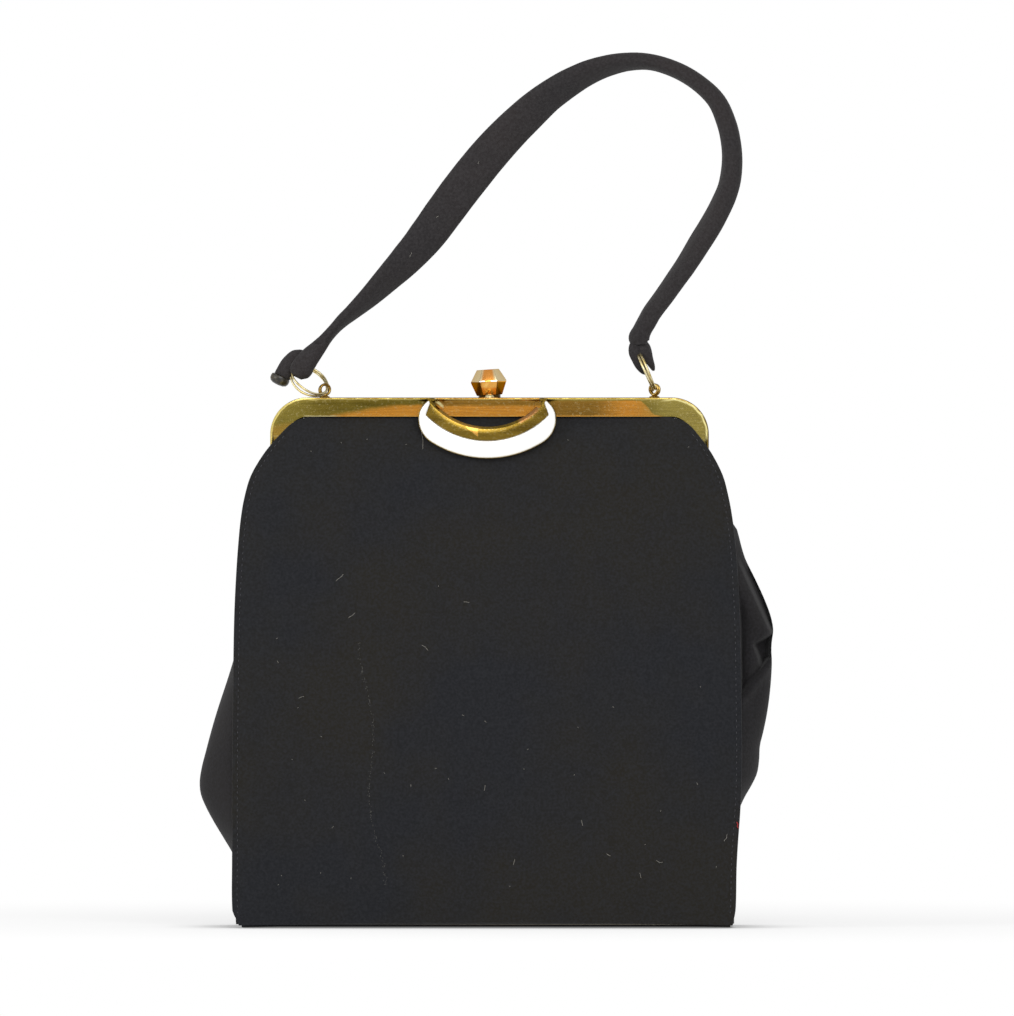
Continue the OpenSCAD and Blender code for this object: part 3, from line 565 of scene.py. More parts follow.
# Stamped brass, gilt like the frame, with amber painted highlights along the bevel and an amber painted
# reflection in one wedge on it
crescent_up = (centre_z - frame_top) / mm
crescent_across = crescent_x / mm
crescent_brass = brass("stamped_crescent_brass", "#6e581f", "#90762d", [
    # The amber wedge is a painted reflection; the two bevel bands after it are painted highlights
    ("#dfa74c", 0.9, [(0.857, 1, -21.5, 0.25), (-1, 0, 5.2, 0.25), (1, 0, -11.5, 0.6),
                      ("disc", crescent_across, crescent_up, 31.8, 0.3)]),
    ("#b98a40", 0.5, [("disc", crescent_across, crescent_up, -32.3, 0.3), (-1, 0, 4, 2), (1, 0, -22, 1)]),
    ("#c98a5a", 0.6, [("disc", crescent_across, crescent_up, -32.7, 0.4), (1, 0, 13, 1), (-1, 0, -21, 1)])])
band("crescent_gold", [
    (inner_line, back_y), (inner_line, front_y + 1.0 * mm),
    (blend_line(inner_line, bevel_line, 0.12), front_y + 0.75 * mm),
    (blend_line(inner_line, bevel_line, 0.9), front_y + 0.05 * mm), (bevel_line, front_y),
    (blend_line(bevel_line, gold_line, 0.5), front_y - 0.05 * mm),
    (blend_line(bevel_line, gold_line, 0.96), front_y + 0.02 * mm), (gold_line, front_y + 0.25 * mm),
    (gold_line, tray_y), (rim_line, tray_y), (rim_line, front_y + 0.7 * mm),
    (blend_line(rim_line, outer_line, 0.3), front_y + 0.5 * mm),
    (blend_line(rim_line, outer_line, 0.8), front_y + 0.6 * mm),
    (outer_line, front_y + 1.0 * mm), (outer_line, back_y - 0.3 * mm),
    (blend_line(outer_line, rim_line, 0.6), back_y)], crescent_brass, "crescent_plate")

white_enamel, tree = new_material("fired_white_enamel")
# Vitreous enamel, poured and fired: opaque milk white with a wet gloss that clips to
# pure white under studio light, and a slight waviness.
place = add_node(tree, "TexCoord").outputs["Object"]
wave = add_node(tree, "TexNoise", {"Vector": place, "Scale": 180, "Detail": 2})
bump = add_node(tree, "Bump", {"Height": wave, "Strength": 0.08, "Distance": 0.2 * mm})
shader = add_node(tree, "BsdfPrincipled", {
    "Base Color": linear("#f6f6f2"), "Roughness": 0.12, "IOR": 1.5, "Coat Weight": 0.6,
    "Coat Roughness": 0.05, "Normal": bump})
add_output(tree, shader)
dome = [(0.0, 0.9), (0.06, 0.45), (0.2, 0.2), (0.4, 0.05), (0.6, 0.1), (0.8, 0.3), (0.94, 0.6), (1.0, 0.95)]
band("crescent_enamel_band",
     [(blend_line(gold_line, rim_line, share), front_y + rise * mm) for share, rise in dome]
     + [(rim_line, tray_y + 0.01 * mm), (gold_line, tray_y + 0.01 * mm)],
     white_enamel, "crescent_enamel")

# Horn returns: the horns' tips turn back over the leaf's top edge
horn_foot_z = crescent_top - 1.2 * mm
horn_rise = 1.4 * mm
horn_profile = [
    (0, back_y - 2.0 * mm), (0.6, back_y - 2.4 * mm), (0.95, back_y - 1.8 * mm), (1, back_y - 0.8 * mm),
    (1, -leaf_out), (1, -leaf_out + 2 * mm), (0, -leaf_out + 2 * mm), (-0.15, -leaf_out)]
for hand, side_name in ((-1, "left"), (1, "right")):
    rings = []
    for x, low in ((22.4, 0.5), (22.7, 0.1), (23.5, 0), (24.6, 0), (25.0, 0.2), (25.2, 0.6)):
        rings.append([Vector((crescent_x + hand * x * mm, y,
                              horn_foot_z + (rise - low * (rise > 0.3)) * horn_rise))
                      for rise, y in horn_profile])
    horn = mesh_piece(f"crescent_horn_{side_name}", *skin(rings), crescent_brass, "front_leaf", 40)


# Ring posts and rings. A wire eye on a small foot is set through the rear leaf near each
# end; each eye carries a loose split ring of pale gilt wire that holds the strap.
ring_low, ring_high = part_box("left_ring")
solid_wire = 0.7 * mm
ring_wire = 0.5 * mm
ring_r = (ring_high.z - ring_low.z) / 2 - solid_wire
eye_z = ring_low.z + solid_wire
post_y = (ring_low.y + ring_high.y) / 2


def ramp(low, high, t):
    t = min(max((t - low) / (high - low), 0), 1)
    return t * t * (3 - 2 * t)


# Each winding lies this far (mm) from the ring's middle plane. The cut ends stop short of the
# two full turns by an angle, and the wire steps over within an angle on either side of one turn
winding_gap = 0.52
cut_end = 0.4
step_over = 0.3


def wire_ring(name, eye, lean, across, spread, body, stands_for):
    """A split ring of two windings hung in its eye: lean is where its middle lies from the eye,
    across its other direction, and spread how far the windings gape (mm) at their widest."""
    lean, across = Vector(lean).normalized(), Vector(across).normalized()
    across = (across - lean * across.dot(lean)).normalized()
    normal = lean.cross(across)
    middle = eye + lean * ring_r
    rings = []
    for i in range(161):
        a = cut_end + (4 * math.pi - 2 * cut_end) * i / 160
        gape = winding_gap + spread * math.exp(-((a % (2 * math.pi) - 1.6 * math.pi) / 0.75) ** 2)
        layer = 2 * ramp(2 * math.pi - step_over, 2 * math.pi + step_over, a) - 1
        out = lean * math.cos(a) + across * math.sin(a)
        rings.append([middle + out * (ring_r + ring_wire * math.cos(b))
                      + normal * (ring_wire * math.sin(b) + layer * gape * mm)
                      for b in round_turn(12)])
    ring = mesh_piece(name, *skin(rings), pale_gilt, body, 60)
    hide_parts(stands_for)


post_gilt = brass("knotted_post_wire", "#7a5c22", "#dcbc6c", [])
# Turned foot on the leaf's top and riveted shank below it, as (height, radius) in mm
post_foot = [(-0.1, 2.2), (0.35, 2.25), (0.6, 2.0), (0.75, 1.4), (1.0, 1.15), (1.7, 1.1), (1.9, 0.7)]
post_shank = [(-1.75, 1.4), (-1.5, 1.6), (-1.15, 1.6), (-1.1, 0.9), (0, 0.9)]
post_wire = 0.56 * mm
post_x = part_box("right_ring")[0].x + solid_wire
for hand, turn, pitch, side_name in ((-1, 28, 1.7, "left"), (1, -32, 2.5, "right")):
    turned = Matrix.Rotation(math.radians(turn), 3, "Z")
    wire = []
    for i in range(61):
        a = -math.pi / 2 + 4 * math.pi * i / 60
        coil_r = 2.25 * mm + 0.12 * mm * math.sin(a * 1.3)
        out = Vector((math.cos(a), 0, math.sin(a)))
        middle = Vector((0, (i / 60 - 0.5) * pitch * mm, 0)) + out * coil_r
        wire.append([Vector((hand * post_x, post_y, eye_z)) + turned @ (
            middle + (out * math.cos(b) + Vector((0, math.sin(b), 0))) * post_wire)
            for b in round_turn(12)])
    foot, shank = [
        disc_stack((hand * post_x, post_y, frame_top), (0, 0, 1), [(h * mm, r * mm) for h, r in rows])
        for rows in (post_foot, post_shank)]
    post = mesh_piece(f"{side_name}_post_eye", *joined([skin(wire), foot, shank]), post_gilt, "bag", 50)
    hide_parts(f"{side_name}_ring_post")
left_eye = Vector((-post_x, post_y, eye_z)) + Vector((0.9, 0, -0.2)) * mm
right_eye = Vector((post_x, post_y, eye_z))
wire_ring("left_wire_ring", left_eye, (-0.88, -0.08, 0.47), (0.27, 0.82, 0.52), 0.6, "left_ring", "left_ring")
wire_ring("right_wire_ring", right_eye, (-0.4, 0, 0.92), (0, 1, 0), 0.2, "right_ring", "right_ring")


# Front cloth. One piece of stiffened black wool crepe from the foot to the frame, its side
# edges turned and top-stitched; it tucks under the frame's lip and lies over its corners.
def curve_through(points):
    """A smooth function through (at, value) pairs with rising at, level beyond its ends."""
    at = [p[0] for p in points]
    value = np.array([p[1:] for p in points], dtype=float)
    run = np.gradient(value, at, axis=0)

    def read(t):
        t = min(max(t, at[0]), at[-1])
        i = min(int(np.searchsorted(at, t, side="right")) - 1, len(at) - 2)
        step = at[i + 1] - at[i]
        u = (t - at[i]) / step
        low, high = value[i], value[i + 1]
        made = ((2 * u ** 3 - 3 * u ** 2 + 1) * low + (u ** 3 - 2 * u ** 2 + u) * step * run[i]
                + (-2 * u ** 3 + 3 * u ** 2) * high + (u ** 3 - u ** 2) * step * run[i + 1])
        return made if len(made) > 1 else float(made[0])
    return read


foot_half_depth, frame_half_depth, frame_at = 33, 9.0, 220


def out_y(z):
    """Half depth of the bag at a height, in millimetres."""
    return foot_half_depth - (foot_half_depth - frame_half_depth) * z / frame_at


# Half width of the cloth, and how far its middle stands off the frame's, by height
cloth_half = curve_through([
    (0, 108.0), (8, 108.6), (27, 108.9), (38, 109.2), (50, 109.7), (63, 110.0), (100, 109.8), (141, 109.0),
    (149, 108.6), (167.5, 107.3), (175, 106.5), (185.7, 104.7),
    (196, 101.7), (201, 99.1), (206.5, 95.6), (210, 92.9), (213, 90.3), (216, 87.6), (218, 85.2),
    (219.3, 82.8), (220.1, 80.2), (220.7, 76.6)])
cloth_middle = curve_through([
    (0, -2.4), (27, -2.2), (45, -1.6), (60, -1.2), (100, -1.0), (160, -1.1), (196, -1.1),
    (207, -0.6), (216, 0)])
cloth_top = 220.7
cloth_t = 1.1
hem_setback = 2.2
tuck_in = 2.7
edge_steps = [0, 0.25, 0.7, 1.3, 1.8, 2.2, 2.6, 3.2, 4.6, 7, 11]


def tucked(x, z):
    """How far the cloth has turned in behind the frame's lip, 0 to 1."""
    return ramp(213, 220, z) * (1 - ramp(68, 84, abs(x)))


def cloth_point(x, z, side):
    """A point on the cloth's outside: side is -1 for the front and 1 for the rear."""
    half = cloth_half(z)
    from_edge = half - abs(x - cloth_middle(z))
    stand = out_y(z)
    stand += 0.35 * noise.noise(Vector((x * 0.018, z * 0.013, side * 3.1))) * ramp(0, 25, from_edge)
    stand += 0.12 * noise.noise(Vector((x * 0.07, z * 0.06, side * 7.3)))
    stand += 0.5 * ramp(2.5, 9, from_edge) * ramp(230, 190, z)
    stand -= 0.16 * math.exp(-((from_edge - hem_setback) / 0.45) ** 2)
    tuck = tucked(x, z)
    lift = 1.5 * ramp(0.75, 1, tuck) * ramp(217, cloth_top, z)
    return Vector((x, side * (stand - tuck_in * tuck), z + lift)) * mm


def cloth_rows(side, low, high, count):
    rings = []
    # Rows lie closer over the shoulders and closest where the cloth tucks in
    shoulder, tuck = 204, 217
    levels = [*np.linspace(low, shoulder, count)[:-1], *np.linspace(shoulder, tuck, 12)[:-1]]
    levels += list(np.linspace(tuck, high, 16))
    for z in levels:
        half, middle = cloth_half(z), cloth_middle(z)
        # The foot's corners are turned in, the left one further
        half -= 1.5 * ramp(7, 0.3, z)
        middle += 0.8 * ramp(7, 0.3, z)
        near_foot = max(1 - z / 30, 0)
        inner = half - edge_steps[-1]
        across = [half - s for s in edge_steps] + list(np.linspace(inner, -inner, 44)[1:-1])
        across += [s - half for s in reversed(edge_steps)]
        ring = []
        for u in across:
            p = cloth_point(middle + u, z, side)
            p.z += (0.6 * near_foot + near_foot * 1.3 * (1 - (u / half) ** 2)) * mm
            ring.append(p)
        inward = Vector((0, -side * mm, 0))
        left, right = ring[-1], ring[0]
        bulge = Vector((0.12 * mm, 0, 0))
        back = [p + inward * cloth_t for p in reversed(ring[2:-2:3])]
        rings.append(ring + [left + inward * cloth_t * 0.5 - bulge, left + inward * cloth_t] + back
                     + [right + inward * cloth_t, right + inward * cloth_t * 0.5 + bulge])
    return rings


def crepe(name, dark, light, warm):
    """Matt wool crepe: a pebbled weave, drawn with pebbles 0.7 mm across so that they show, and
    faint brown and blue clouds some centimetres wide."""
    made, tree = new_material(name)
    place = add_node(tree, "TexCoord").outputs["Object"]
    tint = mottled(tree, place, 14, 3, ((0.38, dark), (0.62, warm)), 0.6)[1]
    pebble = add_node(tree, "TexVoronoi", {"Vector": place, "Scale": 1500}, feature="F1")
    fuzz = add_node(tree, "TexNoise", {"Vector": place, "Scale": 900, "Detail": 2})
    weave = add_node(tree, "MapRange", {
        "Value": fuzz, "From Min": 0.35, "From Max": 0.7, "To Min": 0, "To Max": 0.5})
    mixed = add_node(tree, "Mix", {0: weave, 6: tint, 7: linear(light)}, data_type="RGBA")
    height = add_node(tree, "Math", {0: pebble.outputs["Distance"], 1: fuzz}, operation="ADD")
    bump = add_node(tree, "Bump", {"Height": height, "Strength": 0.35, "Distance": 0.15 * mm})
    shader = add_node(tree, "BsdfPrincipled", {
        "Base Color": mixed.outputs[2], "Roughness": 0.95, "Specular IOR Level": 0.15,
        "Sheen Weight": 0.07, "Sheen Roughness": 0.5, "Normal": bump})
    add_output(tree, shader)
    return made


black_crepe = crepe("black_wool_crepe", "#1b1c1f", "#2a2b2f", "#201e1a")
front_cloth = mesh_piece("front_cloth", *skin(cloth_rows(-1, 0.3, cloth_top, 96)), black_crepe, None, 50)
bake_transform(front_cloth)
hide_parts("front_panel", "front_yoke")


def plain_finish(name, colour, roughness):
    """A finish of one even colour."""
    made, tree = new_material(name)
    shader = add_node(tree, "BsdfPrincipled", {"Base Color": linear(colour), "Roughness": roughness})
    add_output(tree, shader)
    return made


# Cotton thread, a touch paler than the cloth so that each stitch shows
seam_thread = plain_finish("dull_black_thread", "#37373b", 0.7)
stitch_from, stitch_to = 6.0, 213
stitch_pitch = 2.6
stitch_l = 1.1
thread_r = 0.16
# A stitch along its length as (share of the length, share of the thread's radius, rise in mm)
stitch_rows = [(0, 0.3, -0.05), (0.15, 0.9, 0.06), (0.5, 1, 0.14), (0.85, 0.9, 0.06), (1, 0.3, -0.05)]


def stitch_line(side, hand):
    """Running stitches beside one turned edge of a cloth."""
    parts = []
    z = stitch_from
    while z < stitch_to:
        a, b = [cloth_point(cloth_middle(at) + hand * (cloth_half(at) - hem_setback), at, side)
                for at in (z, z + stitch_l * 0.95)]
        along = (b - a).normalized()
        out = Vector((0, side, 0))
        aside = along.cross(out)
        rings = []
        for share, swell, rise in stitch_rows:
            middle_point = a.lerp(b, share) + out * rise * mm
            rings.append([middle_point + (aside * math.cos(t) + out * math.sin(t)) * thread_r * swell * mm
                          for t in (math.pi * j / 3 for j in range(6))])
        parts.append(skin(rings))
        z += stitch_pitch * abs(along.z)
    return joined(parts)


for hand, side_name in ((-1, "left"), (1, "right")):
    stitches = mesh_piece(f"front_stitching_{side_name}", *stitch_line(-1, hand), seam_thread, None, 60)
    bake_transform(stitches)


# Rear cloth. The same cut as the front one, stitched alike and fixed to the rear leaf,
# which stands with the bag.
rear_cloth = mesh_piece("rear_cloth", *skin(cloth_rows(1, 0.3, cloth_top, 72)), black_crepe, "bag", 50)
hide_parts("rear_panel")
for hand, side_name in ((-1, "left"), (1, "right")):
    stitches = mesh_piece(f"rear_stitching_{side_name}", *stitch_line(1, hand), seam_thread, "bag", 60)


# Gussets. Soft side pieces sewn inside the edges of both cloths, slack enough to let the
# frame open; closed, they belly out, the left one low down and the right one in a fold.
# How far out each one's ridge stands, by height, and where the ridge lies between the seams
gusset_belly = {
    -1: curve_through([
        (1.4, 106.6), (12, 107.0), (22, 108.0), (31, 111.0), (38, 115.2), (45, 119.4), (52, 123.0),
        (57, 124.9), (62, 125.4), (68, 124.7), (76, 122.7), (88, 119.4), (101, 115.5), (113, 111.8),
        (121, 109.3), (134, 107.2), (171, 105.8)]),
    1: curve_through([
        (1.4, 105.9), (30, 106.0), (40, 106.1), (45, 106.3), (50, 107.6), (56, 110.3), (61, 113.3),
        (66, 115.7), (71.5, 116.7), (78.5, 117.2), (84, 118.6), (90, 119.9), (100, 121.4), (112, 122.2),
        (122, 122.4), (128.5, 122.9), (134, 121.9), (141, 119.5), (150, 115.4), (158, 111.2),
        (165, 107.8), (171, 105.6)])}
gusset_ridge = {-1: -0.1, 1: -0.3}
gusset_t = 0.9
seam_in = 1.1
gusset_foot = 1.4
gusset_top = 170.5
gusset_peak = 6.5
# Places on the right gusset, across and up: where the flap's edge ends above, the pocket's
# corner, and a point on the crease; each line's slope is given beside it
flap_end, flap_slope = (107.5, 158.6), 0.4514
pocket_corner, pocket_rise, pocket_slope = (114.3, 122.3), 0.507, 0.348
crease_from, crease_run = (108.8, 99.5), 0.8125


def side_fold(x, z):
    """How far the right gusset's folds push its front half back, at a place seen from the front:
    a flap with its edge slanting out and down, a pocket hooked under it, a crease below."""
    flap_x = flap_end[0] + (flap_end[1] - z) * flap_slope
    crease_z = crease_from[1] + (x - crease_from[0]) / crease_run
    from_corner_x, from_corner_z = x - pocket_corner[0], z - pocket_corner[1]
    behind_flap = 5.0 * ramp(-0.6, 1.8, x - flap_x) * ramp(124, 131, z) * ramp(162, 152, z)
    flap = -2.4 * math.exp(-((x - flap_x + 3) / 4) ** 2) * ramp(122, 130, z) * ramp(160, 146, z)
    pocket = 8.0 * ramp(1.1, -1.1, from_corner_z - from_corner_x * pocket_rise)
    pocket *= ramp(-1.0, 1.6, from_corner_x + from_corner_z * pocket_slope) * ramp(-0.5, 2.5, z - crease_z)
    beside = 5.5 * math.exp(-((x - 108.6) / 2.8) ** 2) * ramp(97, 106, z) * ramp(146, 130, z)
    crease = 3.2 * math.exp(-((z - crease_z - 2.2) / 2.6) ** 2) * ramp(122, 117, x)
    ridge = -1.8 * math.exp(-((z - crease_z + 2.2) / 3.2) ** 2)
    return behind_flap + flap + pocket + beside + crease + ridge


def gusset_point(hand, z, v):
    """A point on a gusset's outside: v runs from -1 at the front seam to 1 at the rear one."""
    belly, ridge = gusset_belly[hand](z), gusset_ridge[hand]
    seam = cloth_half(z) - seam_in + hand * cloth_middle(z)
    deep = out_y(z) - cloth_t - 0.5
    share = (v + 1) / (ridge + 1) if v < ridge else (1 - v) / (1 - ridge)
    swell = math.sin(share * math.pi / 2)
    x = seam + (belly - seam) * swell ** 0.9
    x += 0.7 * noise.noise(Vector((v * 1.4, z * 0.03, hand * 5))) * swell * ramp(5, 50, z)
    y = v * deep
    if hand > 0:
        edge = ramp(0, 0.08, share) * ramp(1, 0.93, share)
        y += side_fold(x, z) * edge * (v < ridge)
        x -= 2.5 * math.exp(-((z - 121) / 7) ** 2) * math.exp(-((v + 0.05) / 0.2) ** 2)
    peak = gusset_peak * ramp(158, gusset_top, z) * (1 - v * v)
    x -= 0.45 * max(z + peak - 171.5, 0)
    return Vector((hand * x, y, z + peak)) * mm


def gusset_mesh(hand):
    ridge = gusset_ridge[hand]
    around = [-1 + (ridge + 1) * i / 44 for i in range(44)] + list(np.linspace(ridge, 1, 30))
    # Rows lie closer where the right gusset folds
    fold_low, fold_high = 94, 162
    levels = [*np.linspace(gusset_foot, fold_low, 46)[:-1], *np.linspace(fold_low, fold_high, 90)[:-1]]
    levels += list(np.linspace(fold_high, gusset_top, 6))
    rings = []
    for z in levels:
        outer = [gusset_point(hand, z, v) for v in around]
        inner = [Vector((p.x - hand * gusset_t * mm, p.y * 0.985, p.z)) for p in outer]
        rings.append(outer + list(reversed(inner)))
    return skin(rings)


gusset_crepe = crepe("soft_wool_crepe", "#1b1a1b", "#2b2a2d", "#201e1e")
for hand, side_name in ((-1, "left"), (1, "right")):
    side_cloth = mesh_piece(f"{side_name}_side_cloth", *gusset_mesh(hand), gusset_crepe, "bag", 60)
    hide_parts(f"{side_name}_gusset")


# Base. A strip of the same crepe under a stiff board, sewn between the two cloths; the bag
# stands on it.
base_low, base_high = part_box("base_panel")
base_section = [
    (-1, 0.9), (-0.985, 0.3), (-0.95, 0.05), (-0.5, 0.02), (0, 0), (0.5, 0.02), (0.95, 0.05),
    (0.985, 0.3), (1, 0.9), (0.98, 1.15), (-0.98, 1.15)]
rings = []
for x in np.linspace(base_low.x, base_high.x - 3 * mm, 40):
    dip = 0.8 * mm * (1 - (x / base_high.x) ** 2)
    rings.append([Vector((x, y * base_high.y, z * mm + (dip if z < 0.2 else 0))) for y, z in base_section])
base_cloth = mesh_piece("base_cloth", *skin(rings), black_crepe, "bag", 50)
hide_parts("base_panel")


# Stiffening boards. Grey pulp board between the cloth and the lining, one in each long side
# and a thicker one in the base.
pulp_board, tree = new_material("grey_pulp_board")
# Pressed paper pulp: matt, flecked with darker fibres about 1.5 mm long.
place = add_node(tree, "TexCoord").outputs["Object"]
tint = mottled(tree, place, 700, 4, ((0, "#6e675c"), (1, "#a39b8c")))[1]
shader = add_node(tree, "BsdfPrincipled", {"Base Color": tint, "Roughness": 0.95})
add_output(tree, shader)
for node in ("front_board", "rear_board", "base_board"):
    coat(node, pulp_board)


# Lining. An open bag of dark satin with a flat pocket on its rear side, and a satin facing
# on each leaf above it; the edges are turned and the long sides lie slack.
satin, tree = new_material("dark_lining_satin")
# Rayon satin: smooth, with a soft sheen and slight crushing; its threads are drawn about
# 0.35 mm apart, wider than real ones, so that they show.
place = add_node(tree, "TexCoord").outputs["Object"]
crush, tint = mottled(tree, place, 45, 4, ((0, "#2b2629"), (1, "#4a4347")))
threads = add_node(tree, "TexWave", {
    "Vector": place, "Scale": 900, "Distortion": 0.5}, bands_direction="Z")
height = add_node(tree, "Math", {0: crush, 1: threads}, operation="ADD")
bump = add_node(tree, "Bump", {"Height": height, "Strength": 0.2, "Distance": 0.2 * mm})
shader = add_node(tree, "BsdfPrincipled", {
    "Base Color": tint, "Roughness": 0.42, "Sheen Weight": 0.3, "Normal": bump})
add_output(tree, shader)

lining_low, lining_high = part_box("lining_bag")
lining_t = 0.7
lining_clear = 0.12
lining_slack = 0.8


def lining_ring(z, inset):
    """One level of the lining bag, in four sides with rounded corners."""
    half_x = lining_high.x / mm - inset
    half_y = out_y(z) - 2.7 - inset
    ring = []
    for a in round_turn(96):
        x, y = math.cos(a), math.sin(a)
        reach = (abs(x) ** 9 + abs(y) ** 9) ** (-1 / 9)
        x, y = x * reach, y * reach
        sag = lining_slack * noise.noise(Vector((x * 2.6, y * 1.3, z * 0.02))) * (1 - abs(x) ** 6)
        ring.append(Vector((x * half_x, y * half_y - math.copysign(abs(sag), y) * (abs(y) > 0.9), z)) * mm)
    return ring


lining_floor, lining_mouth = lining_low.z / mm, lining_high.z / mm
outside = [lining_ring(z, lining_clear) for z in np.linspace(lining_floor + 0.15, lining_mouth - 0.2, 40)]
inside = [lining_ring(z, lining_clear + lining_t) for z in np.linspace(lining_mouth, lining_floor + 0.9, 40)]
satin_bag = mesh_piece("satin_lining_bag", *skin(outside + inside), satin, "bag", 55)
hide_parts("lining_bag")

pocket_low, pocket_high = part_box("inside_pocket")
rings = []
for z in np.linspace(pocket_low.z / mm, pocket_high.z / mm, 36):
    outer, inner = [], []
    share = (z * mm - pocket_low.z) / (pocket_high.z - pocket_low.z)
    for u in np.linspace(-1, 1, 33):
        puff = 1.6 * (1 - u ** 6) * share ** 0.7 + 0.25 * noise.noise(Vector((u * 3, z * 0.05, 2)))
        wall = out_y(z) - 3.6
        hem = 0.35 * ramp(0.94, 0.96, share)
        outer.append(Vector((u * pocket_high.x / mm, wall - 0.9 - puff - hem, z)) * mm)
        inner.append(Vector((u * pocket_high.x / mm, wall - 0.3 - puff * 0.9, z)) * mm)
    rings.append(outer + list(reversed(inner)))
slip_pocket = mesh_piece("satin_slip_pocket", *skin(rings), satin, "bag", 55)
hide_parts("inside_pocket")

for side, body, node in ((-1, "front_leaf", "front_yoke_lining"), (1, "bag", "rear_yoke_lining")):
    low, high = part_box(node)
    rings = []
    for z in np.linspace(low.z / mm, high.z / mm, 24):
        outer, inner = [], []
        for u in np.linspace(-1, 1, 61):
            wave = 0.2 * noise.noise(Vector((u * 6, z * 0.06, side)))
            across = u * high.x / mm
            wall = out_y(z) - cloth_t - 0.5 - tuck_in * tucked(across, z)
            outer.append(Vector((across, side * wall, z)) * mm)
            inner.append(Vector((across, side * (wall - 0.7 + wave), z)) * mm)
        rings.append(outer + list(reversed(inner)))
    facing = mesh_piece(node.replace("yoke_lining", "satin_facing"), *skin(rings), satin, body, 55)
    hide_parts(node)


# Strap. A padded tube of the same crepe over a filler cord, sewn flat; it turns edge on at
# the left ring, shows its broad face on the way up and turns edge on again over the top.
strap_y = post_y / mm
strap_line = [
    # across, height, broad width, thickness, turn in degrees
    (-73.4, 251.6, 8.0, 5.2, 66), (-70.1, 255.6, 8.6, 4.6, 76), (-66.9, 259.2, 10.2, 4.6, 80),
    (-63.4, 262.7, 11.4, 5.0, 76), (-59.3, 266.2, 12.4, 5.2, 70), (-51.7, 273.1, 14.0, 5.7, 59),
    (-44.8, 280.0, 15.0, 6.0, 49), (-37.9, 287.0, 15.8, 6.3, 38), (-31.6, 293.9, 16.2, 6.5, 28),
    (-26.0, 300.8, 16.6, 6.6, 18), (-18.4, 311.2, 16.8, 6.8, 10), (-10.6, 321.6, 16.9, 6.9, 6),
    (-2.3, 332.0, 16.8, 7.0, 8), (6.9, 342.3, 16.4, 7.0, 14), (17.6, 352.7, 16.0, 7.0, 26),
    (25.9, 359.7, 15.6, 7.0, 38), (36.4, 366.6, 15.4, 7.0, 50), (47.0, 371.6, 15.2, 7.0, 63),
    (59.0, 374.5, 15.2, 6.9, 76), (70.5, 374.4, 15.0, 6.7, 84), (82.0, 370.6, 15.0, 7.0, 86),
    (91.2, 364.9, 15.0, 7.4, 87), (98.5, 357.6, 15.0, 8.0, 88), (102.5, 348.8, 15.0, 8.5, 88),
    (104.6, 340.2, 15.0, 8.6, 87), (105.2, 331.0, 15.0, 8.8, 85), (104.0, 321.6, 15.0, 9.0, 82),
    (101.0, 313.5, 15.0, 8.9, 76), (96.2, 304.3, 15.0, 8.5, 70), (90.8, 295.6, 14.8, 8.3, 69),
    (85.5, 287.0, 14.2, 8.1, 72), (80.6, 280.0, 13.4, 8.0, 74), (75.8, 273.1, 12.4, 7.9, 75),
    (70.7, 266.2, 11.2, 7.9, 76), (68.5, 262.4, 10.6, 8.0, 77), (66.2, 258.2, 9.8, 7.9, 78),
    (64.8, 254.8, 9.2, 9.0, 80), (64.8, 252.0, 8.6, 6.4, 80)]
squareness = 2.5


def soft_tube(line, smooth=5, section=36, depth_at=None):
    """A padded tube along a line of (across, height, broad width, thickness, turn)."""
    last = len(line) - 1
    read = curve_through([(i, *row) for i, row in enumerate(line)])
    rings = []
    for i in range(last * smooth + 1):
        t = i / smooth
        row, ahead, behind = read(t), read(min(t + 0.05, last)), read(max(t - 0.05, 0))
        along = Vector((ahead[0] - behind[0], 0, ahead[1] - behind[1])).normalized()
        side = Vector((along.z, 0, -along.x))
        front = Vector((0, 1, 0))
        turn = math.radians(row[4])
        broad = side * math.cos(turn) + front * math.sin(turn)
        thick = -side * math.sin(turn) + front * math.cos(turn)
        y = depth_at(t / last) if depth_at else strap_y
        middle = Vector((row[0], y, row[1]))
        ring = []
        for a in round_turn(section):
            c, s = math.cos(a), math.sin(a)
            reach = (abs(c) ** squareness + abs(s) ** squareness) ** (-1 / squareness)
            pucker = 1 + 0.012 * noise.noise(Vector((c * 2, s * 2, t * 1.7)))
            ring.append((middle + broad * c * reach * row[2] / 2 * pucker
                         + thick * s * reach * row[3] / 2 * pucker) * mm)
        rings.append(ring)
    return skin(rings)


strap_crepe = crepe("strap_wool_crepe", "#272526", "#3b393a", "#2b2727")
strap = mesh_piece("padded_strap", *soft_tube(strap_line), strap_crepe, "strap", 60)
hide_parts("strap_cover")

filler, tree = new_material("cotton_filler_cord")
# Loose-laid cotton cord inside the strap, off-white and matt, with fibres 2 mm apart.
place = add_node(tree, "TexCoord").outputs["Object"]
tint = mottled(tree, place, 500, 3, ((0, "#b8b09c"), (1, "#ddd6c4")))[1]
shader = add_node(tree, "BsdfPrincipled", {"Base Color": tint, "Roughness": 1.0})
add_output(tree, shader)
cord_breadth, cord_depth = 0.62, 0.55
core_line = [(x, z, broad * cord_breadth, thick * cord_depth, turn)
             for x, z, broad, thick, turn in strap_line[2:-2]]
core = mesh_piece("strap_filler_cord", *soft_tube(core_line, smooth=3, section=16), filler, "strap", 60)
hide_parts("strap_core")


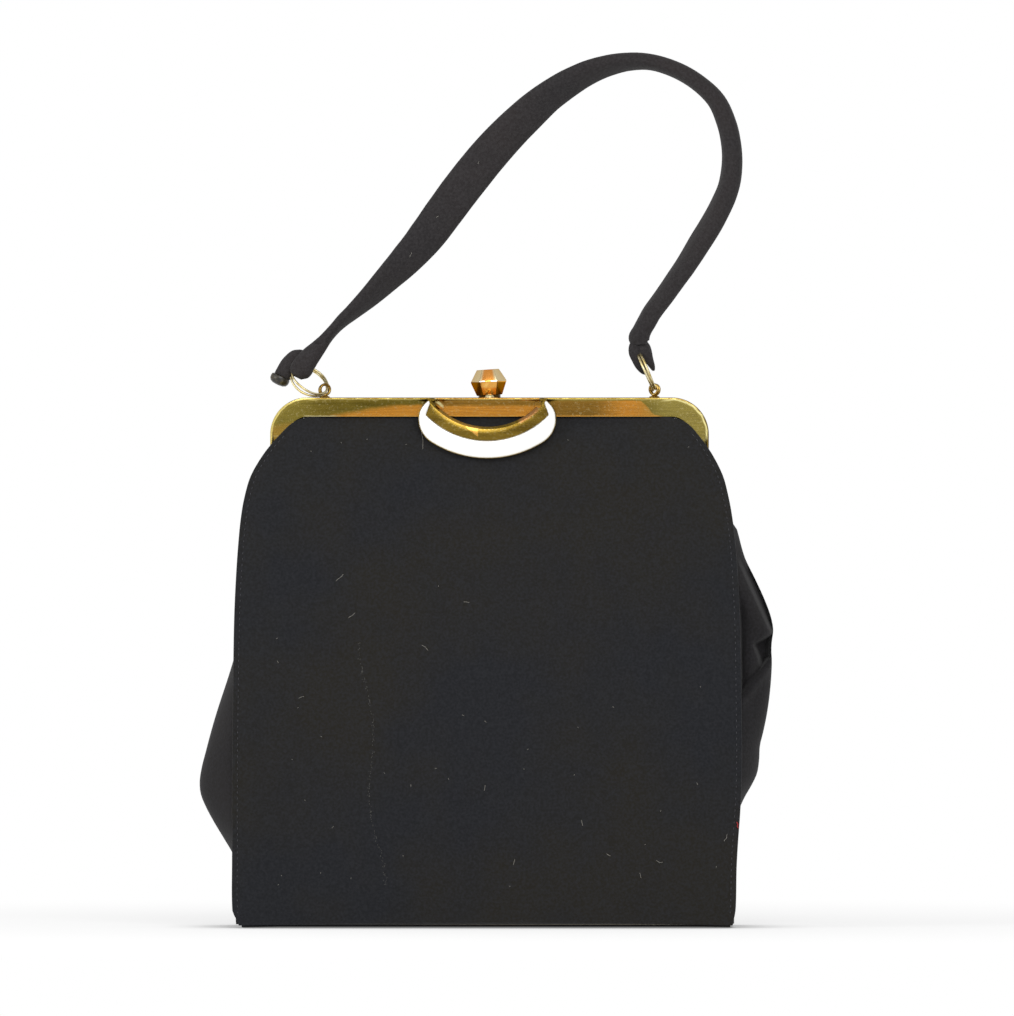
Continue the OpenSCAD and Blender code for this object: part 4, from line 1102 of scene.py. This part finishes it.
# Folded ends. At each ring the strap is pinched, passed through and sewn back on itself:
# the left one makes a hump beside its lobe, the right one two small lobes round the wire.
left_limb = [(-71.6, 253.8, 8.0, 4.7, 68), (-74.6, 250.3, 8.6, 5.6, 56), (-77.4, 247.2, 9.0, 6.6, 42),
             (-80.0, 243.9, 9.4, 7.6, 24), (-81.6, 241.3, 9.8, 7.6, 10), (-82.8, 239.3, 8.4, 6.2, 0),
             (-83.6, 237.7, 4.4, 3.2, 0)]
left_hump = [(-80.4, 248.6, 2.0, 3.0, 0), (-81.8, 248.0, 4.4, 5.6, 0), (-83.4, 246.7, 7.2, 8.2, 0),
             (-85.5, 244.4, 8.2, 8.8, 0), (-87.2, 242.2, 8.4, 8.6, 0), (-88.8, 240.0, 7.8, 8.0, 0),
             (-90.2, 238.2, 7.0, 6.8, 0), (-90.9, 237.2, 5.4, 5.4, 0)]
left_fold = mesh_piece("left_strap_fold", *joined([
    soft_tube(left_limb, depth_at=lambda share: strap_y - 3.0 * share),
    soft_tube(left_hump, depth_at=lambda share: strap_y + 2.6 - share)]), strap_crepe, "strap", 60)
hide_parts("left_strap_loop")

right_left_lobe = [(64.6, 252.8, 5.0, 6.0, 60), (63.6, 250.4, 6.2, 7.4, 20), (63.3, 248.2, 5.6, 7.4, 10),
                   (63.9, 245.8, 4.6, 7.0, 8), (65.2, 242.9, 4.1, 6.4, 5), (66.8, 240.5, 3.0, 5.0, 0),
                   (67.8, 239.3, 1.3, 2.4, 0)]
right_right_lobe = [(65.6, 252.6, 4.6, 6.0, 40), (66.7, 250.2, 6.0, 7.4, 20), (67.8, 248.0, 5.6, 7.2, 10),
                    (69.0, 245.6, 4.1, 6.6, 5), (70.4, 242.8, 2.7, 5.6, 0), (71.0, 241.2, 1.6, 3.4, 0),
                    (71.1, 240.6, 0.8, 1.6, 0)]
right_fold = mesh_piece("right_strap_fold", *joined([
    soft_tube(right_left_lobe), soft_tube(right_right_lobe)]), strap_crepe, "strap", 60)
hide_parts("right_strap_loop")

lacquer, tree = new_material("black_lacquered_tip")
# The strap's raw end, stiffened with black lacquer: glossy and uneven, rubbed at its rim.
place = add_node(tree, "TexCoord").outputs["Object"]
rough, tint = mottled(tree, place, 600, 4, ((0.45, "#18150f"), (0.75, "#4a4230")))
bump = add_node(tree, "Bump", {"Height": rough, "Strength": 0.4, "Distance": 0.3 * mm})
shader = add_node(tree, "BsdfPrincipled", {
    "Base Color": tint, "Roughness": 0.4, "Coat Weight": 0.12, "Normal": bump})
add_output(tree, shader)
tip_axis = (-0.42, 0, -0.9)
tip_base = Vector((-90.2, strap_y + 1.5, 238.6)) * mm
tip_rows = [(0.0, 3.0), (0.6, 4.1), (1.4, 4.3), (2.6, 4.2), (3.6, 3.6), (4.2, 2.4), (4.4, 0.8)]
tip = mesh_piece("left_strap_tip", *disc_stack(
    tip_base, tip_axis, [(h * mm, r * mm) for h, r in tip_rows], 32), lacquer, "strap", 40)
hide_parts("strap_tip")


# Lint. Pale hairs and specks caught in the crepe, a faint pale streak of grey flecks down the front's left
# half and a scrap of red thread at the right seam; each rides on the cloth it lies on.
# Stray cotton and hair, dusty white and matt
lint = plain_finish("pale_lint", "#908d85", 1.0)
# Fine grey flecks, matt, a touch paler than the cloth
pale_streak = plain_finish("pale_grey_flecks", "#4e4d4a", 1.0)
# A dull red cotton end
red_thread = plain_finish("red_cotton_thread", "#8c1f22", 0.9)
hair_r, streak_r, red_thread_r = 0.07, 0.09, 0.28


def hair(line, radius):
    """A hair or thread along points in millimetres."""
    rings = []
    for i, point in enumerate(line):
        along = Vector(line[min(i + 1, len(line) - 1)]) - Vector(line[max(i - 1, 0)])
        one = along.cross(Vector((0, 1, 0))).normalized()
        two = along.cross(one).normalized()
        rings.append([(Vector(point) + (one * math.cos(a) + two * math.sin(a)) * radius) * mm
                      for a in round_turn(5)])
    return skin(rings)


def on_front(x, z, radius):
    """A place on the front cloth for a hair, sunk a little into the nap."""
    return (x, cloth_point(x, z, -1).y / mm - radius * 0.6, z + 0.6 * max(1 - z / 30, 0))


def hairs_on_front(rows, radius):
    return [hair([on_front(x, z, radius) for x, z in row], radius) for row in rows]


chance = random.Random(7)
low_hairs = [[(-66.4, 149.6), (-65.3, 150.6), (-64.0, 151.5), (-63.3, 152.5)],
             [(-61.0, 133.6), (-60.2, 134.2), (-59.0, 134.9), (-58.2, 135.8)],
             [(-29.2, 121.8), (-27.6, 120.9), (-26.6, 119.6)], [(101.2, 37.2), (102.4, 38.6), (102.6, 40.2)],
             [(72.0, 29.0), (73.6, 27.9), (74.9, 28.2)], [(50.6, 31.8), (52.2, 30.8)]]
for i in range(36):
    x, z, turn = chance.uniform(-104, 102), chance.uniform(8, 160), chance.uniform(0, math.pi)
    reach = chance.choice((0.25, 0.3, 0.4, 0.5, 1.2))
    low_hairs.append([(x - reach * math.cos(turn), z - reach * math.sin(turn)), (x, z + 0.1 * reach),
                      (x + reach * math.cos(turn), z + reach * math.sin(turn))])
high_hairs = [[(-29.7, 216.0), (-29.4, 213.4), (-28.8, 210.6), (-28.9, 206.6)]]
for i in range(9):
    x, z, turn = chance.uniform(-90, 90), chance.uniform(204, 211), chance.uniform(0, math.pi)
    high_hairs.append([(x, z), (x + 0.5 * math.cos(turn), z + 0.5 * math.sin(turn))])
streak_flecks = []
for i in range(150):
    z = 18 + 105 * chance.random()
    x = -53.8 + 6.5 * ramp(110, 20, z) + 2.6 * math.sin(z * 0.09) + chance.gauss(0, 0.35)
    streak_flecks.append([(x, z), (x + chance.uniform(-0.1, 0.1), z + chance.uniform(0.2, 0.7))])
red_end = [(106.8, -28.6, 45.4), (107.3, -28.9, 44.6), (107.0, -29.0, 43.6), (107.5, -28.8, 42.9)]
strap_hairs = [hair([(x, strap_y - depth, z) for x, z in row], hair_r) for depth, row in (
    (3.9, [(-35.7, 295.2), (-34.6, 294.6), (-33.8, 293.2), (-33.8, 291.4), (-34.6, 290.0)]),
    (4.0, [(-23.0, 307.0), (-22.2, 307.8)]), (4.1, [(-5.0, 330.2), (-4.6, 331.4)]))]
for name, parts, material, body in (
        ("lint_on_front", hairs_on_front(low_hairs, hair_r), lint, "bag"),
        ("lint_on_upper_front", hairs_on_front(high_hairs, hair_r), lint, "front_leaf"),
        ("pale_streak_on_front", hairs_on_front(streak_flecks, streak_r), pale_streak, "bag"),
        ("lint_on_strap", strap_hairs, lint, "strap"),
        ("red_thread_end", [hair(red_end, red_thread_r)], red_thread, "bag")):
    piece = mesh_piece(name, *joined(parts), material, body, 60)
